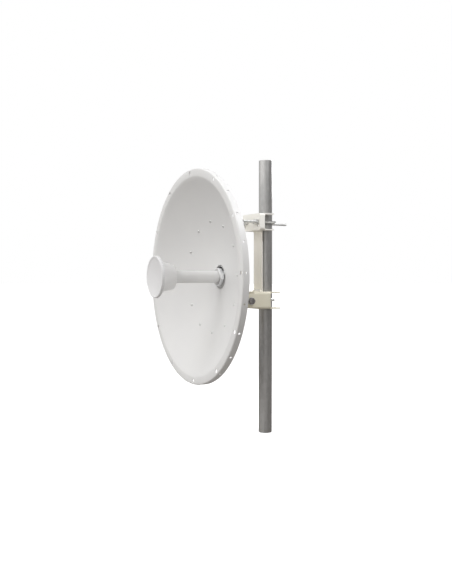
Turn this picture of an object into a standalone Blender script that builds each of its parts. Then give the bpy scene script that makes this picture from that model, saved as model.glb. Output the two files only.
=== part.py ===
"""Parabolic dish antenna on a short mast, with an azimuth clamp and an elevation hinge.

Metres, +Z up. The mast's axis is the Z axis and its foot is at the origin. The dish faces -Y.
"""
import math

import bmesh
import bpy
from mathutils import Matrix, Vector

# Play left between pieces that touch, and sides of small, middling and large round pieces
GAP = 0.0003
ROUND = 16
ROUND_MIDDLE = 32
ROUND_LARGE = 48

# Mast: a galvanised tube closed at both ends
MAST_HEIGHT = 0.863
MAST_RADIUS = 0.0212
MAST_WALL = 0.0026
PLUG_DEPTH = 0.006

# Dish: spun sheet with a flat rim and a skirt turned back
DISH_AXIS_Z = 0.495
DISH_RADIUS = 0.325
BOWL_RADIUS = 0.3015
RIM_Y = -0.259
BOWL_DEPTH = 0.0983
SHEET = 0.002
SKIRT_DEPTH = 0.0205
RIM_BEND = 0.004
DISH_SIDES = 72
BOWL_STEPS = 9
RIM_HOLE_CIRCLE = 0.314
RIM_HOLE_RADIUS = 0.0055
RIM_HOLES = 12
SKIRT_HOLES = 24
SKIRT_HOLE_RADIUS = 0.0033
SKIRT_HOLE_SETBACK = 0.010
HOLE_PHASE = math.radians(2.0)
FEED_OPENING = 0.0365

# Backing pan: a pressed pan riveted behind the bowl
PAN_SHEET = 0.0025
PAN_OUTER = 0.186
PAN_FLANGE_INNER = 0.152
PAN_FLAT_RADIUS = 0.098
PAN_FLAT_Y = -0.1275
PAN_OPENING = 0.021

# Feed: tube, cup and front disc on a hub in the middle of the pan
TUBE_RADIUS = 0.0185
TUBE_WALL = 0.0015
TUBE_FRONT_Y = -0.3300
TUBE_BACK_Y = -0.1400
DISC_Y = -0.3798
DISC_RADIUS = 0.0624
DISC_THICKNESS = 0.0090
DISC_LIP = 0.0015
CUP_FRONT_RADIUS = 0.0482
CUP_BACK_RADIUS = 0.0373
CUP_BACK_Y = -0.3215
CUP_WALL = 0.0020
CUP_BEND = 0.002
COLLAR_LENGTH = 0.012
HUB_RADIUS = 0.0250
HUB_FLANGE_RADIUS = 0.0440
HUB_FLANGE = 0.004
HUB_FRONT_Y = -0.1750
HUB_SHOULDER_RADIUS = 0.0345
HUB_SHOULDER_Y = -0.1620
BAND_RADIUS = 0.0280
BAND_WIDTH = 0.010
CONNECTOR_SPACING = 0.0190
CONNECTOR_RADIUS = 0.0078
CAP_PROUD = 0.006

# Tilt frame: a channel that carries the dish on the hinge bolt
CHANNEL_HALF = 0.0275
CHANNEL_SHEET = 0.003
CHANNEL_BACK_Y = -0.1000
CHANNEL_BOTTOM = 0.4015
CHANNEL_TOP = 0.6800
HINGE_Y = -0.0830
HINGE_Z = 0.4210
HINGE_EAR_RADIUS = 0.0165
PIN_Y = -0.1120
PIN_Z = 0.6660
PIN_RADIUS = 0.005
PIN_EAR_RADIUS = 0.010
PIN_HEAD_RADIUS = 0.0075
PIN_HEAD_HEIGHT = 0.0025
STAY_HALF = 0.018
STAY_SHEET = 0.003
STAY_LOW_RADIUS = 0.158
STAY_HIGH_RADIUS = 0.181

# Mount: two pressed brackets joined by a flat spine, held to the mast by two U-bolts
BRACKET_HALF = 0.0555
BRACKET_SHEET = 0.0035
BRACKET_BEND = 0.008
LOWER_BOTTOM = 0.3955
LOWER_TOP = 0.4485
LOWER_PLATE_FRONT = -0.0728
LOWER_SHELF_FRONT = -0.0520
LOWER_CHEEK_BACK = -0.0130
LOWER_PLATE_BACK = 0.0234
LOWER_WEB_Y = -0.0275
CHEEK_EAR_RADIUS = 0.0218
CHEEK_EAR_Z = 0.4228
UPPER_BOTTOM = 0.6405
UPPER_TOP = 0.6925
UPPER_WEB_Y = -0.0520
UPPER_CHEEK_BACK = -0.0345
UPPER_PLATE_BACK = 0.0005
MAST_NOTCH = 0.0225
SPINE_HALF = 0.0260
SPINE_FRONT_Y = -0.0285
SPINE_THICKNESS = 0.0040
U_BOLT_RADIUS = 0.004
U_BOLT_BEND = 0.0262
UPPER_U_BOLT_Z = 0.6670
LOWER_U_BOLT_Z = 0.4225
U_BOLT_THREAD_OUT = 0.0105
U_BOLT_STEPS = 10

# Nuts of the 8 mm threads, and the 12 mm hinge bolt with its nut, washers and spacers
NUT_FLATS = 0.013
NUT_HEIGHT = 0.0065
HINGE_BOLT_RADIUS = 0.006
HINGE_HEAD_RADIUS = 0.0104
HINGE_HEAD_HEIGHT = 0.0075
HINGE_NUT_FLATS = 0.019
HINGE_NUT_HEIGHT = 0.010
HINGE_BOLT_PAST_NUT = 0.004
HINGE_WASHER_RADIUS = 0.0118
HINGE_WASHER_HEIGHT = 0.0016
HINGE_SPACER_RADIUS = 0.009

# Elevation rods, one on each side, turning on the cross pin
ROD_X = 0.0425
ROD_RADIUS = 0.004
ROD_END_Y = {"left": 0.1035, "right": 0.0115}
EYE_RADIUS = 0.009
EYE_WIDTH = 0.008
ROD_FRONT_PLAY = 0.0010
SLOT_LOW = 0.6510
SLOT_HIGH = 0.6740
SLOT_HALF = 0.0050

WHITE = (0.78, 0.78, 0.79)
CREAM = (0.74, 0.72, 0.62)
ZINC = (0.55, 0.56, 0.57)
DARK_ZINC = (0.10, 0.09, 0.09)
ALUMINIUM = (0.72, 0.73, 0.74)
GREY_PLASTIC = (0.35, 0.36, 0.37)
BRASS = (0.62, 0.48, 0.24)

AXIS_TURN = {
    "X": Matrix.Rotation(math.radians(90.0), 4, "Y"),
    "Y": Matrix.Rotation(math.radians(-90.0), 4, "X"),
    "Z": Matrix.Identity(4),
}


def clear_scene():
    for item in list(bpy.data.objects):
        bpy.data.objects.remove(item, do_unlink=True)


def material(name, colour, roughness, metallic):
    made = bpy.data.materials.new(name)
    made.use_nodes = True
    shader = made.node_tree.nodes["Principled BSDF"]
    shader.inputs["Base Color"].default_value = (*colour, 1.0)
    shader.inputs["Roughness"].default_value = roughness
    shader.inputs["Metallic"].default_value = metallic
    return made


def world_place(item):
    """Where an object's origin lies, through its unturned parents."""
    place = Vector(item.location)
    while item.parent is not None:
        item = item.parent
        place += item.location
    return place


def add_object(name, bm, made=None, place=(0.0, 0.0, 0.0), parent=None, smooth=True):
    """Put a mesh, drawn in world coordinates, on an object whose origin is at place."""
    place = Vector(place)
    bmesh.ops.remove_doubles(bm, verts=bm.verts, dist=0.000001)
    bmesh.ops.recalc_face_normals(bm, faces=bm.faces)
    bmesh.ops.translate(bm, verts=bm.verts, vec=-place)
    mesh = bpy.data.meshes.new(name)
    bm.to_mesh(mesh)
    bm.free()
    if smooth:
        mesh.shade_smooth()
        mesh.set_sharp_from_angle(angle=math.radians(35.0))
    item = bpy.data.objects.new(name, mesh)
    bpy.context.scene.collection.objects.link(item)
    item.location = place
    if made is not None:
        mesh.materials.append(made)
    if parent is not None:
        item.parent = parent
        item.location = place - world_place(parent)
    return item


def add_pivot(name, place, parent=None):
    pivot = bpy.data.objects.new(name, None)
    pivot.empty_display_size = 0.03
    bpy.context.scene.collection.objects.link(pivot)
    pivot.location = Vector(place)
    if parent is not None:
        pivot.parent = parent
        pivot.location = Vector(place) - world_place(parent)
    return pivot


def turned(profile, axis="Z", centre=(0.0, 0.0, 0.0), sides=ROUND, phase=0.0):
    """Turn a closed outline of (radius, distance along the axis) points about an axis."""
    bm = bmesh.new()
    rings = []
    for radius, along in profile:
        if radius < 1e-9:
            rings.append([bm.verts.new((0.0, 0.0, along))])
            continue
        ring = []
        for step in range(sides):
            angle = phase + 2.0 * math.pi * step / sides
            ring.append(bm.verts.new((radius * math.cos(angle), radius * math.sin(angle), along)))
        rings.append(ring)
    for first, second in zip(rings, rings[1:] + rings[:1]):
        if len(first) == 1 and len(second) == 1:
            continue
        for step in range(sides):
            after = (step + 1) % sides
            if len(first) == 1:
                corners = [first[0], second[after], second[step]]
            elif len(second) == 1:
                corners = [first[step], first[after], second[0]]
            else:
                corners = [first[step], first[after], second[after], second[step]]
            bm.faces.new(corners)
    bmesh.ops.transform(bm, matrix=Matrix.Translation(centre) @ AXIS_TURN[axis], verts=bm.verts)
    return bm


def rod_mesh(radius, start, end, axis, centre, sides=ROUND, chamfer=0.0, phase=0.0):
    """A round or many-sided bar along an axis, from start to end of that axis."""
    profile = [(0.0, start), (radius - chamfer, start)]
    if chamfer > 0.0:
        profile.append((radius, start + chamfer))
        profile.append((radius, end - chamfer))
    profile.append((radius - chamfer, end))
    profile.append((0.0, end))
    return turned(profile, axis, centre, sides, phase)


def ring_mesh(inner, outer, start, end, axis, centre, sides=ROUND, phase=0.0):
    profile = [(inner, start), (outer, start), (outer, end), (inner, end)]
    return turned(profile, axis, centre, sides, phase)


def nut_mesh(flats, bore, start, end, axis, centre, sides=12):
    """A six-sided nut with a round bore and a flat facing sideways."""
    bm = bmesh.new()
    outer_radius = flats / math.sqrt(3.0)
    loops = {}
    for level in (start, end):
        outer = []
        inner = []
        for step in range(sides):
            angle = 2.0 * math.pi * step / sides + math.pi / 6.0
            corner = step % 2 == 0
            reach = outer_radius if corner else flats / 2.0
            outer.append(bm.verts.new((reach * math.cos(angle), reach * math.sin(angle), level)))
            inner.append(bm.verts.new((bore * math.cos(angle), bore * math.sin(angle), level)))
        loops[level] = (outer, inner)
    for step in range(sides):
        after = (step + 1) % sides
        low_outer, low_inner = loops[start]
        high_outer, high_inner = loops[end]
        bm.faces.new([low_outer[step], low_outer[after], high_outer[after], high_outer[step]])
        bm.faces.new([low_inner[after], low_inner[step], high_inner[step], high_inner[after]])
        bm.faces.new([low_outer[after], low_outer[step], low_inner[step], low_inner[after]])
        bm.faces.new([high_outer[step], high_outer[after], high_inner[after], high_inner[step]])
    bmesh.ops.transform(bm, matrix=Matrix.Translation(centre) @ AXIS_TURN[axis], verts=bm.verts)
    return bm


def block_mesh(low, high):
    bm = bmesh.new()
    bmesh.ops.create_cube(bm, size=1.0)
    low = Vector(low)
    high = Vector(high)
    size = high - low
    bmesh.ops.scale(bm, vec=size, verts=bm.verts)
    bmesh.ops.translate(bm, vec=(low + high) / 2.0, verts=bm.verts)
    return bm


def side_plate(outline, x_from, x_to):
    """Extrude an outline of (y, z) points from one x to another."""
    bm = bmesh.new()
    face = bm.faces.new([bm.verts.new((x_from, y, z)) for y, z in outline])
    moved = bmesh.ops.extrude_face_region(bm, geom=[face])
    corners = [part for part in moved["geom"] if isinstance(part, bmesh.types.BMVert)]
    bmesh.ops.translate(bm, verts=corners, vec=(x_to - x_from, 0.0, 0.0))
    return bm


def arc(centre, radius, first, last, steps):
    """Points (y, z) on an arc, angles in degrees from +Y towards +Z."""
    points = []
    for step in range(steps + 1):
        angle = math.radians(first + (last - first) * step / steps)
        points.append((centre[0] + radius * math.cos(angle), centre[1] + radius * math.sin(angle)))
    return points


def round_edges(bm, chosen, width, segments):
    edges = [edge for edge in bm.edges if chosen(edge)]
    bmesh.ops.bevel(bm, geom=edges, offset=width, segments=segments, affect="EDGES", profile=0.5)


def join_meshes(*meshes):
    whole = bmesh.new()
    for bm in meshes:
        kept = bpy.data.meshes.new("kept")
        bm.to_mesh(kept)
        bm.free()
        whole.from_mesh(kept)
        bpy.data.meshes.remove(kept)
    return whole


def shape_with(item, tool_mesh, operation):
    """Add or cut away a shape with a Boolean modifier, and keep its tool out of sight."""
    tool = add_object(item.name + "_" + operation.lower(), tool_mesh, smooth=False)
    tool.hide_render = True
    tool.display_type = "WIRE"
    change = item.modifiers.new(operation.title(), "BOOLEAN")
    change.operation = operation
    change.object = tool


def cut(item, *meshes):
    for bm in meshes:
        shape_with(item, bm, "DIFFERENCE")


def fuse(item, *meshes):
    for bm in meshes:
        shape_with(item, bm, "UNION")


def bowl_y(radius):
    """Front surface of the bowl at a distance from the dish's axis."""
    return RIM_Y + BOWL_DEPTH * (1.0 - (radius / BOWL_RADIUS) ** 2)


def dish_centre(along=0.0):
    return (0.0, along, DISH_AXIS_Z)


def on_dish_circle(radius, index, count):
    angle = HOLE_PHASE + 2.0 * math.pi * index / count
    return radius * math.cos(angle), DISH_AXIS_Z + radius * math.sin(angle)


def make_mast(made):
    inner = MAST_RADIUS - MAST_WALL
    tube = ring_mesh(inner, MAST_RADIUS, 0.0, MAST_HEIGHT, "Z", (0.0, 0.0, 0.0), ROUND_MIDDLE)
    add_object("mast_tube", tube, made["galvanised"])
    plug_radius = inner - GAP
    for name, low in (("mast_foot_plug", 0.0), ("mast_top_plug", MAST_HEIGHT - PLUG_DEPTH)):
        plug = rod_mesh(plug_radius, low, low + PLUG_DEPTH, "Z", (0.0, 0.0, 0.0), ROUND_MIDDLE)
        add_object(name, plug, made["plug"])


def make_reflector(made, parent):
    front = []
    for step in range(BOWL_STEPS + 1):
        radius = FEED_OPENING + (BOWL_RADIUS - FEED_OPENING) * step / BOWL_STEPS
        front.append((radius, bowl_y(radius)))
    bend_centre = (DISH_RADIUS - RIM_BEND, RIM_Y + RIM_BEND)
    bend = arc(bend_centre, RIM_BEND, -90.0, 0.0, 2)
    inner_bend = arc(bend_centre, RIM_BEND - SHEET, 0.0, -90.0, 2)
    back = [(radius, along + SHEET) for radius, along in reversed(front)]
    profile = front + bend
    profile.append((DISH_RADIUS, RIM_Y + SKIRT_DEPTH))
    profile.append((DISH_RADIUS - SHEET, RIM_Y + SKIRT_DEPTH))
    profile += inner_bend + back
    shell = turned(profile, "Y", dish_centre(), DISH_SIDES)
    item = add_object("reflector", shell, made["white"], (0.0, RIM_Y, DISH_AXIS_Z), parent)
    rim_tools = []
    for index in range(RIM_HOLES):
        x, z = on_dish_circle(RIM_HOLE_CIRCLE, index, RIM_HOLES)
        rim_tools.append(rod_mesh(RIM_HOLE_RADIUS, RIM_Y - 0.005, RIM_Y + 0.008, "Y", (x, 0.0, z), 8))
    cut(item, join_meshes(*rim_tools))
    skirt_tools = []
    for index in range(SKIRT_HOLES):
        angle = HOLE_PHASE + 2.0 * math.pi * index / SKIRT_HOLES
        tool = rod_mesh(SKIRT_HOLE_RADIUS, DISH_RADIUS - 0.006, DISH_RADIUS + 0.006, "Z", (0.0, 0.0, 0.0), 6)
        bmesh.ops.rotate(tool, matrix=Matrix.Rotation(math.pi / 2.0 - angle, 3, "Y"), verts=tool.verts)
        bmesh.ops.translate(tool, vec=dish_centre(RIM_Y + SKIRT_HOLE_SETBACK), verts=tool.verts)
        skirt_tools.append(tool)
    cut(item, join_meshes(*skirt_tools))


def make_backing_pan(made, parent):
    front = []
    for step in range(3):
        radius = PAN_OUTER + (PAN_FLANGE_INNER - PAN_OUTER) * step / 2
        front.append((radius, bowl_y(radius) + SHEET + GAP))
    front.append((PAN_FLAT_RADIUS + 0.006, PAN_FLAT_Y - 0.003))
    front.append((PAN_FLAT_RADIUS, PAN_FLAT_Y))
    front.append((PAN_OPENING, PAN_FLAT_Y))
    back = [(radius, along + PAN_SHEET) for radius, along in reversed(front)]
    back[2] = (PAN_FLAT_RADIUS + 0.0075, PAN_FLAT_Y - 0.003 + PAN_SHEET)
    pan = turned(front + back, "Y", dish_centre(), ROUND_LARGE)
    add_object("backing_pan", pan, made["cream"], (0.0, PAN_FLAT_Y, DISH_AXIS_Z), parent)


def make_feed(made, parent):
    centre = dish_centre()
    tube = ring_mesh(TUBE_RADIUS - TUBE_WALL, TUBE_RADIUS, TUBE_FRONT_Y, TUBE_BACK_Y, "Y", centre, ROUND_MIDDLE)
    add_object("feed_tube", tube, made["white"], centre, parent)
    disc_back = DISC_Y + DISC_THICKNESS
    disc = turned([
        (0.0, DISC_Y + DISC_LIP), (DISC_RADIUS - 0.006, DISC_Y + DISC_LIP), (DISC_RADIUS - 0.004, DISC_Y),
        (DISC_RADIUS - DISC_LIP, DISC_Y), (DISC_RADIUS, DISC_Y + DISC_LIP), (DISC_RADIUS, disc_back - 0.001),
        (DISC_RADIUS - 0.001, disc_back), (0.0, disc_back),
    ], "Y", centre, ROUND_MIDDLE)
    add_object("feed_disc", disc, made["white"], centre, parent)
    cup_front = disc_back + GAP
    collar = TUBE_RADIUS + GAP
    collar_front = CUP_BACK_Y - COLLAR_LENGTH
    bend_radius = CUP_BACK_RADIUS - CUP_BEND
    bend_y = CUP_BACK_Y - CUP_BEND
    outside = [(CUP_FRONT_RADIUS, cup_front)] + arc((bend_radius, bend_y), CUP_BEND, 8.0, 90.0, 2)
    inside = [
        (collar, CUP_BACK_Y), (collar, collar_front), (collar + CUP_WALL, collar_front),
        (collar + CUP_WALL, CUP_BACK_Y - CUP_WALL), (CUP_BACK_RADIUS - CUP_WALL, CUP_BACK_Y - CUP_WALL),
        (CUP_FRONT_RADIUS - CUP_WALL, cup_front),
    ]
    cup = turned(outside + inside, "Y", centre, ROUND_MIDDLE)
    add_object("feed_cup", cup, made["white"], centre, parent)
    hub_inner = TUBE_RADIUS + GAP
    flange_back = PAN_FLAT_Y - GAP
    hub = turned([
        (hub_inner, HUB_FRONT_Y), (HUB_RADIUS - 0.001, HUB_FRONT_Y), (HUB_RADIUS, HUB_FRONT_Y + 0.001),
        (HUB_RADIUS, HUB_SHOULDER_Y - 0.001), (HUB_SHOULDER_RADIUS - 0.0015, HUB_SHOULDER_Y),
        (HUB_SHOULDER_RADIUS, HUB_SHOULDER_Y + 0.0015), (HUB_SHOULDER_RADIUS, flange_back - HUB_FLANGE),
        (HUB_FLANGE_RADIUS, flange_back - HUB_FLANGE),
        (HUB_FLANGE_RADIUS, flange_back), (hub_inner, flange_back),
    ], "Y", centre, ROUND_MIDDLE)
    add_object("feed_hub", hub, made["aluminium"], centre, parent)
    band_start = HUB_FRONT_Y + 0.0015
    band = ring_mesh(HUB_RADIUS + GAP, BAND_RADIUS, band_start, band_start + BAND_WIDTH, "Y", centre, ROUND_MIDDLE)
    item = add_object("feed_band", band, made["aluminium"], centre, parent)
    screw_box = block_mesh(
        (BAND_RADIUS - 0.0012, band_start + 0.0008, DISH_AXIS_Z - 0.007),
        (BAND_RADIUS + 0.0055, band_start + BAND_WIDTH - 0.0008, DISH_AXIS_Z + 0.007))
    fuse(item, screw_box)
    cap_front = flange_back + GAP
    cap_back = PAN_FLAT_Y + PAN_SHEET + CAP_PROUD
    cap = rod_mesh(PAN_OPENING - GAP, cap_front, cap_back, "Y", centre, ROUND, 0.001)
    add_object("feed_back_cap", cap, made["plug"], centre, parent)
    for side, sign in (("left", -1.0), ("right", 1.0)):
        place = (sign * CONNECTOR_SPACING / 2.0, 0.0, DISH_AXIS_Z)
        start = cap_back + GAP
        connector = turned([
            (0.0, start), (CONNECTOR_RADIUS, start), (CONNECTOR_RADIUS, start + 0.004),
            (CONNECTOR_RADIUS - 0.0013, start + 0.0045), (CONNECTOR_RADIUS - 0.0013, start + 0.018),
            (0.0050, start + 0.018), (0.0050, start + 0.009), (0.0012, start + 0.009),
            (0.0012, start + 0.015), (0.0, start + 0.015),
        ], "Y", place, 12)
        add_object("feed_connector_" + side, connector, made["brass"], place, parent)


def channel_outline():
    """Side outline of the channel's cheeks: an ear for the hinge below and one for the pin above."""
    front = PAN_FLAT_Y + PAN_SHEET + GAP
    outline = [(front, CHANNEL_BOTTOM)]
    outline += arc((HINGE_Y, HINGE_Z), HINGE_EAR_RADIUS, -85.0, 85.0, 10)
    outline.append((CHANNEL_BACK_Y, HINGE_Z + HINGE_EAR_RADIUS + 0.014))
    outline.append((CHANNEL_BACK_Y, PIN_Z - 0.030))
    outline += arc((PIN_Y, PIN_Z), PIN_EAR_RADIUS, -20.0, 75.0, 6)
    outline.append((front, CHANNEL_TOP))
    return outline


def make_tilt_channel(made, parent):
    front = PAN_FLAT_Y + PAN_SHEET + GAP
    channel = side_plate(channel_outline(), -CHANNEL_HALF, CHANNEL_HALF)
    item = add_object("tilt_channel", channel, made["cream"], (0.0, HINGE_Y, HINGE_Z), parent)
    inner = CHANNEL_HALF - CHANNEL_SHEET
    cut(item, block_mesh((-inner, front + CHANNEL_SHEET, 0.35), (inner, 0.0, 0.75)))
    cut(item, rod_mesh(HINGE_BOLT_RADIUS + GAP, -0.05, 0.05, "X", (0.0, HINGE_Y, HINGE_Z), ROUND))
    cut(item, rod_mesh(PIN_RADIUS + GAP, -0.05, 0.05, "X", (0.0, PIN_Y, PIN_Z), ROUND))
    cut(item, rod_mesh(PAN_OPENING, front - 0.02, front + 0.02, "Y", dish_centre(), ROUND))
    head_start = ROD_X + EYE_WIDTH / 2.0 + 0.0005
    pin_end = head_start + PIN_HEAD_HEIGHT
    pin = turned([
        (0.0, -pin_end), (PIN_HEAD_RADIUS, -pin_end), (PIN_HEAD_RADIUS, -head_start),
        (PIN_RADIUS, -head_start), (PIN_RADIUS, head_start), (PIN_HEAD_RADIUS, head_start),
        (PIN_HEAD_RADIUS, pin_end), (0.0, pin_end),
    ], "X", (0.0, PIN_Y, PIN_Z), ROUND)
    add_object("cross_pin", pin, made["zinc"], (0.0, PIN_Y, PIN_Z), parent)


def make_upper_stay(made, parent):
    """A bent strap from the pan's flange up to the channel's web."""
    web_y = PAN_FLAT_Y + PAN_SHEET
    behind_bowl = SHEET + PAN_SHEET + 2.5 * GAP
    low_y = bowl_y(STAY_LOW_RADIUS) + behind_bowl
    high_y = bowl_y(STAY_HIGH_RADIUS) + behind_bowl
    slope = (high_y - low_y) / (STAY_HIGH_RADIUS - STAY_LOW_RADIUS)
    low_z = DISH_AXIS_Z + STAY_LOW_RADIUS
    high_z = DISH_AXIS_Z + STAY_HIGH_RADIUS
    top_z = CHANNEL_TOP - STAY_SHEET
    outline = [
        (low_y, low_z), (high_y, high_z), (high_y + STAY_SHEET, high_z - slope * STAY_SHEET),
        (low_y + STAY_SHEET + 0.002, low_z + 0.004), (web_y - STAY_SHEET, low_z + 0.004),
        (web_y - STAY_SHEET, top_z), (web_y, top_z), (web_y, low_z),
    ]
    stay = side_plate(outline, -STAY_HALF, STAY_HALF)
    add_object("upper_stay", stay, made["cream"], (0.0, web_y, low_z), parent)


def make_hinge(made, parent):
    centre = (0.0, HINGE_Y, HINGE_Z)
    bore = HINGE_BOLT_RADIUS + GAP
    face = BRACKET_HALF + GAP
    head_start = face + HINGE_WASHER_HEIGHT + GAP
    for side, sign in (("left", -1.0), ("right", 1.0)):
        ends = sorted((sign * face, sign * (face + HINGE_WASHER_HEIGHT)))
        washer = ring_mesh(bore, HINGE_WASHER_RADIUS, ends[0], ends[1], "X", centre)
        add_object("hinge_washer_" + side, washer, made["zinc"], centre, parent)
        ends = sorted((sign * (CHANNEL_HALF + GAP), sign * (BRACKET_HALF - BRACKET_SHEET - GAP)))
        spacer = ring_mesh(bore, HINGE_SPACER_RADIUS, ends[0], ends[1], "X", centre)
        add_object("hinge_spacer_" + side, spacer, made["zinc"], centre, parent)
    head_end = head_start + HINGE_HEAD_HEIGHT
    head = rod_mesh(HINGE_HEAD_RADIUS, head_start, head_end, "X", centre, 6, 0.0, math.pi / 6.0)
    item = add_object("hinge_bolt", head, made["dark_zinc"], centre, parent)
    nut_end = -(head_start + HINGE_NUT_HEIGHT)
    shank_end = nut_end - HINGE_BOLT_PAST_NUT
    fuse(item, rod_mesh(HINGE_BOLT_RADIUS, shank_end, head_start + 0.004, "X", centre, ROUND, 0.001))
    nut = nut_mesh(HINGE_NUT_FLATS, bore, nut_end, -head_start, "X", centre)
    add_object("hinge_nut", nut, made["zinc"], centre, parent)


def bend_edges(low_z, high_z, half):
    def chosen(edge):
        first, second = (vert.co for vert in edge.verts)
        along_y = abs(first.y - second.y) > 0.01
        at_side = abs(abs(first.x) - half) < 1e-5 and abs(abs(second.x) - half) < 1e-5
        top = abs(first.z - high_z) < 1e-5 and abs(second.z - high_z) < 1e-5
        bottom = abs(first.z - low_z) < 1e-5 and abs(second.z - low_z) < 1e-5
        return along_y and at_side and (top or bottom)
    return chosen


def pressed_block(half, front, back, low_z, high_z, bend):
    """A block whose four edges along Y are rounded, as a folded sheet's are."""
    bm = block_mesh((-half, front, low_z), (half, back, high_z))
    round_edges(bm, bend_edges(low_z, high_z, half), bend, 3)
    return bm


def mast_notch(low_z, high_z):
    """The space that the mast takes in a bracket's plates, open to the back."""
    tool = rod_mesh(MAST_NOTCH, low_z, high_z, "Z", (0.0, 0.0, 0.0), ROUND_MIDDLE)
    opening = block_mesh((-MAST_NOTCH, 0.0, low_z), (MAST_NOTCH, 0.1, high_z))
    return tool, opening


def make_lower_bracket(made, parent):
    sheet = BRACKET_SHEET
    inner = BRACKET_HALF - sheet
    low = LOWER_BOTTOM + sheet
    high = LOWER_TOP - sheet
    body = pressed_block(BRACKET_HALF, LOWER_PLATE_FRONT, LOWER_PLATE_BACK, LOWER_BOTTOM, LOWER_TOP, BRACKET_BEND)
    item = add_object("lower_bracket", body, made["cream"], (0.0, 0.0, LOWER_BOTTOM), parent)
    cut(item, block_mesh((-0.1, -0.12, 0.37), (0.1, LOWER_SHELF_FRONT, low)))
    ear = rod_mesh(CHEEK_EAR_RADIUS, -BRACKET_HALF, BRACKET_HALF, "X", (0.0, HINGE_Y, CHEEK_EAR_Z), ROUND_MIDDLE)
    neck = block_mesh(
        (-BRACKET_HALF, HINGE_Y, CHEEK_EAR_Z - CHEEK_EAR_RADIUS),
        (BRACKET_HALF, LOWER_PLATE_FRONT + 0.002, CHEEK_EAR_Z + CHEEK_EAR_RADIUS))
    fuse(item, ear, neck)
    cut(item, pressed_block(inner, -0.12, LOWER_WEB_Y, low, high, BRACKET_BEND - sheet))
    cut(item, pressed_block(inner, LOWER_WEB_Y + sheet, 0.1, low, high, BRACKET_BEND - sheet))
    cut(item, block_mesh((-inner, -0.12, 0.37), (inner, LOWER_PLATE_FRONT + 0.001, 0.47)))
    cut(item, block_mesh((-inner, -0.12, 0.37), (inner, LOWER_SHELF_FRONT, 0.41)))
    cut(item, block_mesh((-0.1, LOWER_CHEEK_BACK, low), (0.1, 0.1, high)))
    notch, opening = mast_notch(0.37, 0.47)
    cut(item, notch, opening)
    cut(item, rod_mesh(HINGE_BOLT_RADIUS + GAP, -0.1, 0.1, "X", (0.0, HINGE_Y, HINGE_Z), ROUND))
    for sign in (-1.0, 1.0):
        place = (sign * U_BOLT_BEND, 0.0, LOWER_U_BOLT_Z)
        cut(item, rod_mesh(U_BOLT_RADIUS + GAP, LOWER_WEB_Y - 0.01, LOWER_WEB_Y + 0.01, "Y", place, 16))


def make_upper_bracket(made, parent):
    sheet = BRACKET_SHEET
    inner = BRACKET_HALF - sheet
    body = pressed_block(BRACKET_HALF, UPPER_WEB_Y, UPPER_PLATE_BACK, UPPER_BOTTOM, UPPER_TOP, BRACKET_BEND)
    item = add_object("upper_bracket", body, made["cream"], (0.0, 0.0, UPPER_BOTTOM), parent)
    low = UPPER_BOTTOM + sheet
    high = UPPER_TOP - sheet
    cut(item, pressed_block(inner, UPPER_WEB_Y + sheet, 0.1, low, high, BRACKET_BEND - sheet))
    cut(item, block_mesh((-0.1, UPPER_CHEEK_BACK, low), (0.1, 0.1, high)))
    notch, opening = mast_notch(0.60, 0.72)
    cut(item, notch, opening)
    for sign in (-1.0, 1.0):
        place = (sign * U_BOLT_BEND, 0.0, UPPER_U_BOLT_Z)
        cut(item, rod_mesh(U_BOLT_RADIUS + GAP, UPPER_WEB_Y - 0.01, UPPER_WEB_Y + 0.01, "Y", place, 16))
        slot = block_mesh(
            (sign * ROD_X - SLOT_HALF, UPPER_WEB_Y - 0.01, SLOT_LOW),
            (sign * ROD_X + SLOT_HALF, UPPER_WEB_Y + 0.01, SLOT_HIGH))
        cut(item, slot)


def make_spine(made, parent):
    spine = block_mesh(
        (-SPINE_HALF, SPINE_FRONT_Y, LOWER_TOP + GAP),
        (SPINE_HALF, SPINE_FRONT_Y + SPINE_THICKNESS, UPPER_BOTTOM - GAP))
    round_edges(spine, lambda edge: abs(edge.verts[0].co.z - edge.verts[1].co.z) > 0.1, 0.001, 1)
    add_object("mount_spine", spine, made["cream"], (0.0, SPINE_FRONT_Y, LOWER_TOP), parent)


def u_bolt_mesh(front_y, level):
    """A round bar bent in a half circle behind the mast, with two legs running forward."""
    sides = 12
    path = [((-U_BOLT_BEND, front_y), (0.0, 1.0))]
    for step in range(U_BOLT_STEPS + 1):
        angle = math.pi - math.pi * step / U_BOLT_STEPS
        spot = (U_BOLT_BEND * math.cos(angle), U_BOLT_BEND * math.sin(angle))
        path.append((spot, (math.sin(angle), -math.cos(angle))))
    path.append(((U_BOLT_BEND, front_y), (0.0, -1.0)))
    bm = bmesh.new()
    rings = []
    for (x, y), (dx, dy) in path:
        ring = []
        for step in range(sides):
            angle = 2.0 * math.pi * step / sides
            across = U_BOLT_RADIUS * math.cos(angle)
            up = U_BOLT_RADIUS * math.sin(angle)
            ring.append(bm.verts.new((x + dy * across, y - dx * across, level + up)))
        rings.append(ring)
    for first, second in zip(rings, rings[1:]):
        for step in range(sides):
            after = (step + 1) % sides
            bm.faces.new([first[step], first[after], second[after], second[step]])
    bm.faces.new(rings[0])
    bm.faces.new(rings[-1])
    return bm


def make_u_bolts(made, parent):
    for name, web_y, level in (("lower", LOWER_WEB_Y, LOWER_U_BOLT_Z), ("upper", UPPER_WEB_Y, UPPER_U_BOLT_Z)):
        bolt = u_bolt_mesh(web_y - U_BOLT_THREAD_OUT, level)
        add_object(name + "_u_bolt", bolt, made["zinc"], (0.0, 0.0, level), parent)
        for side, sign in (("left", -1.0), ("right", 1.0)):
            centre = (sign * U_BOLT_BEND, 0.0, level)
            nut_back = web_y - GAP
            nut = nut_mesh(NUT_FLATS, U_BOLT_RADIUS + GAP, nut_back - NUT_HEIGHT, nut_back, "Y", centre)
            add_object(name + "_u_bolt_nut_" + side, nut, made["zinc"], centre, parent)


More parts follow.
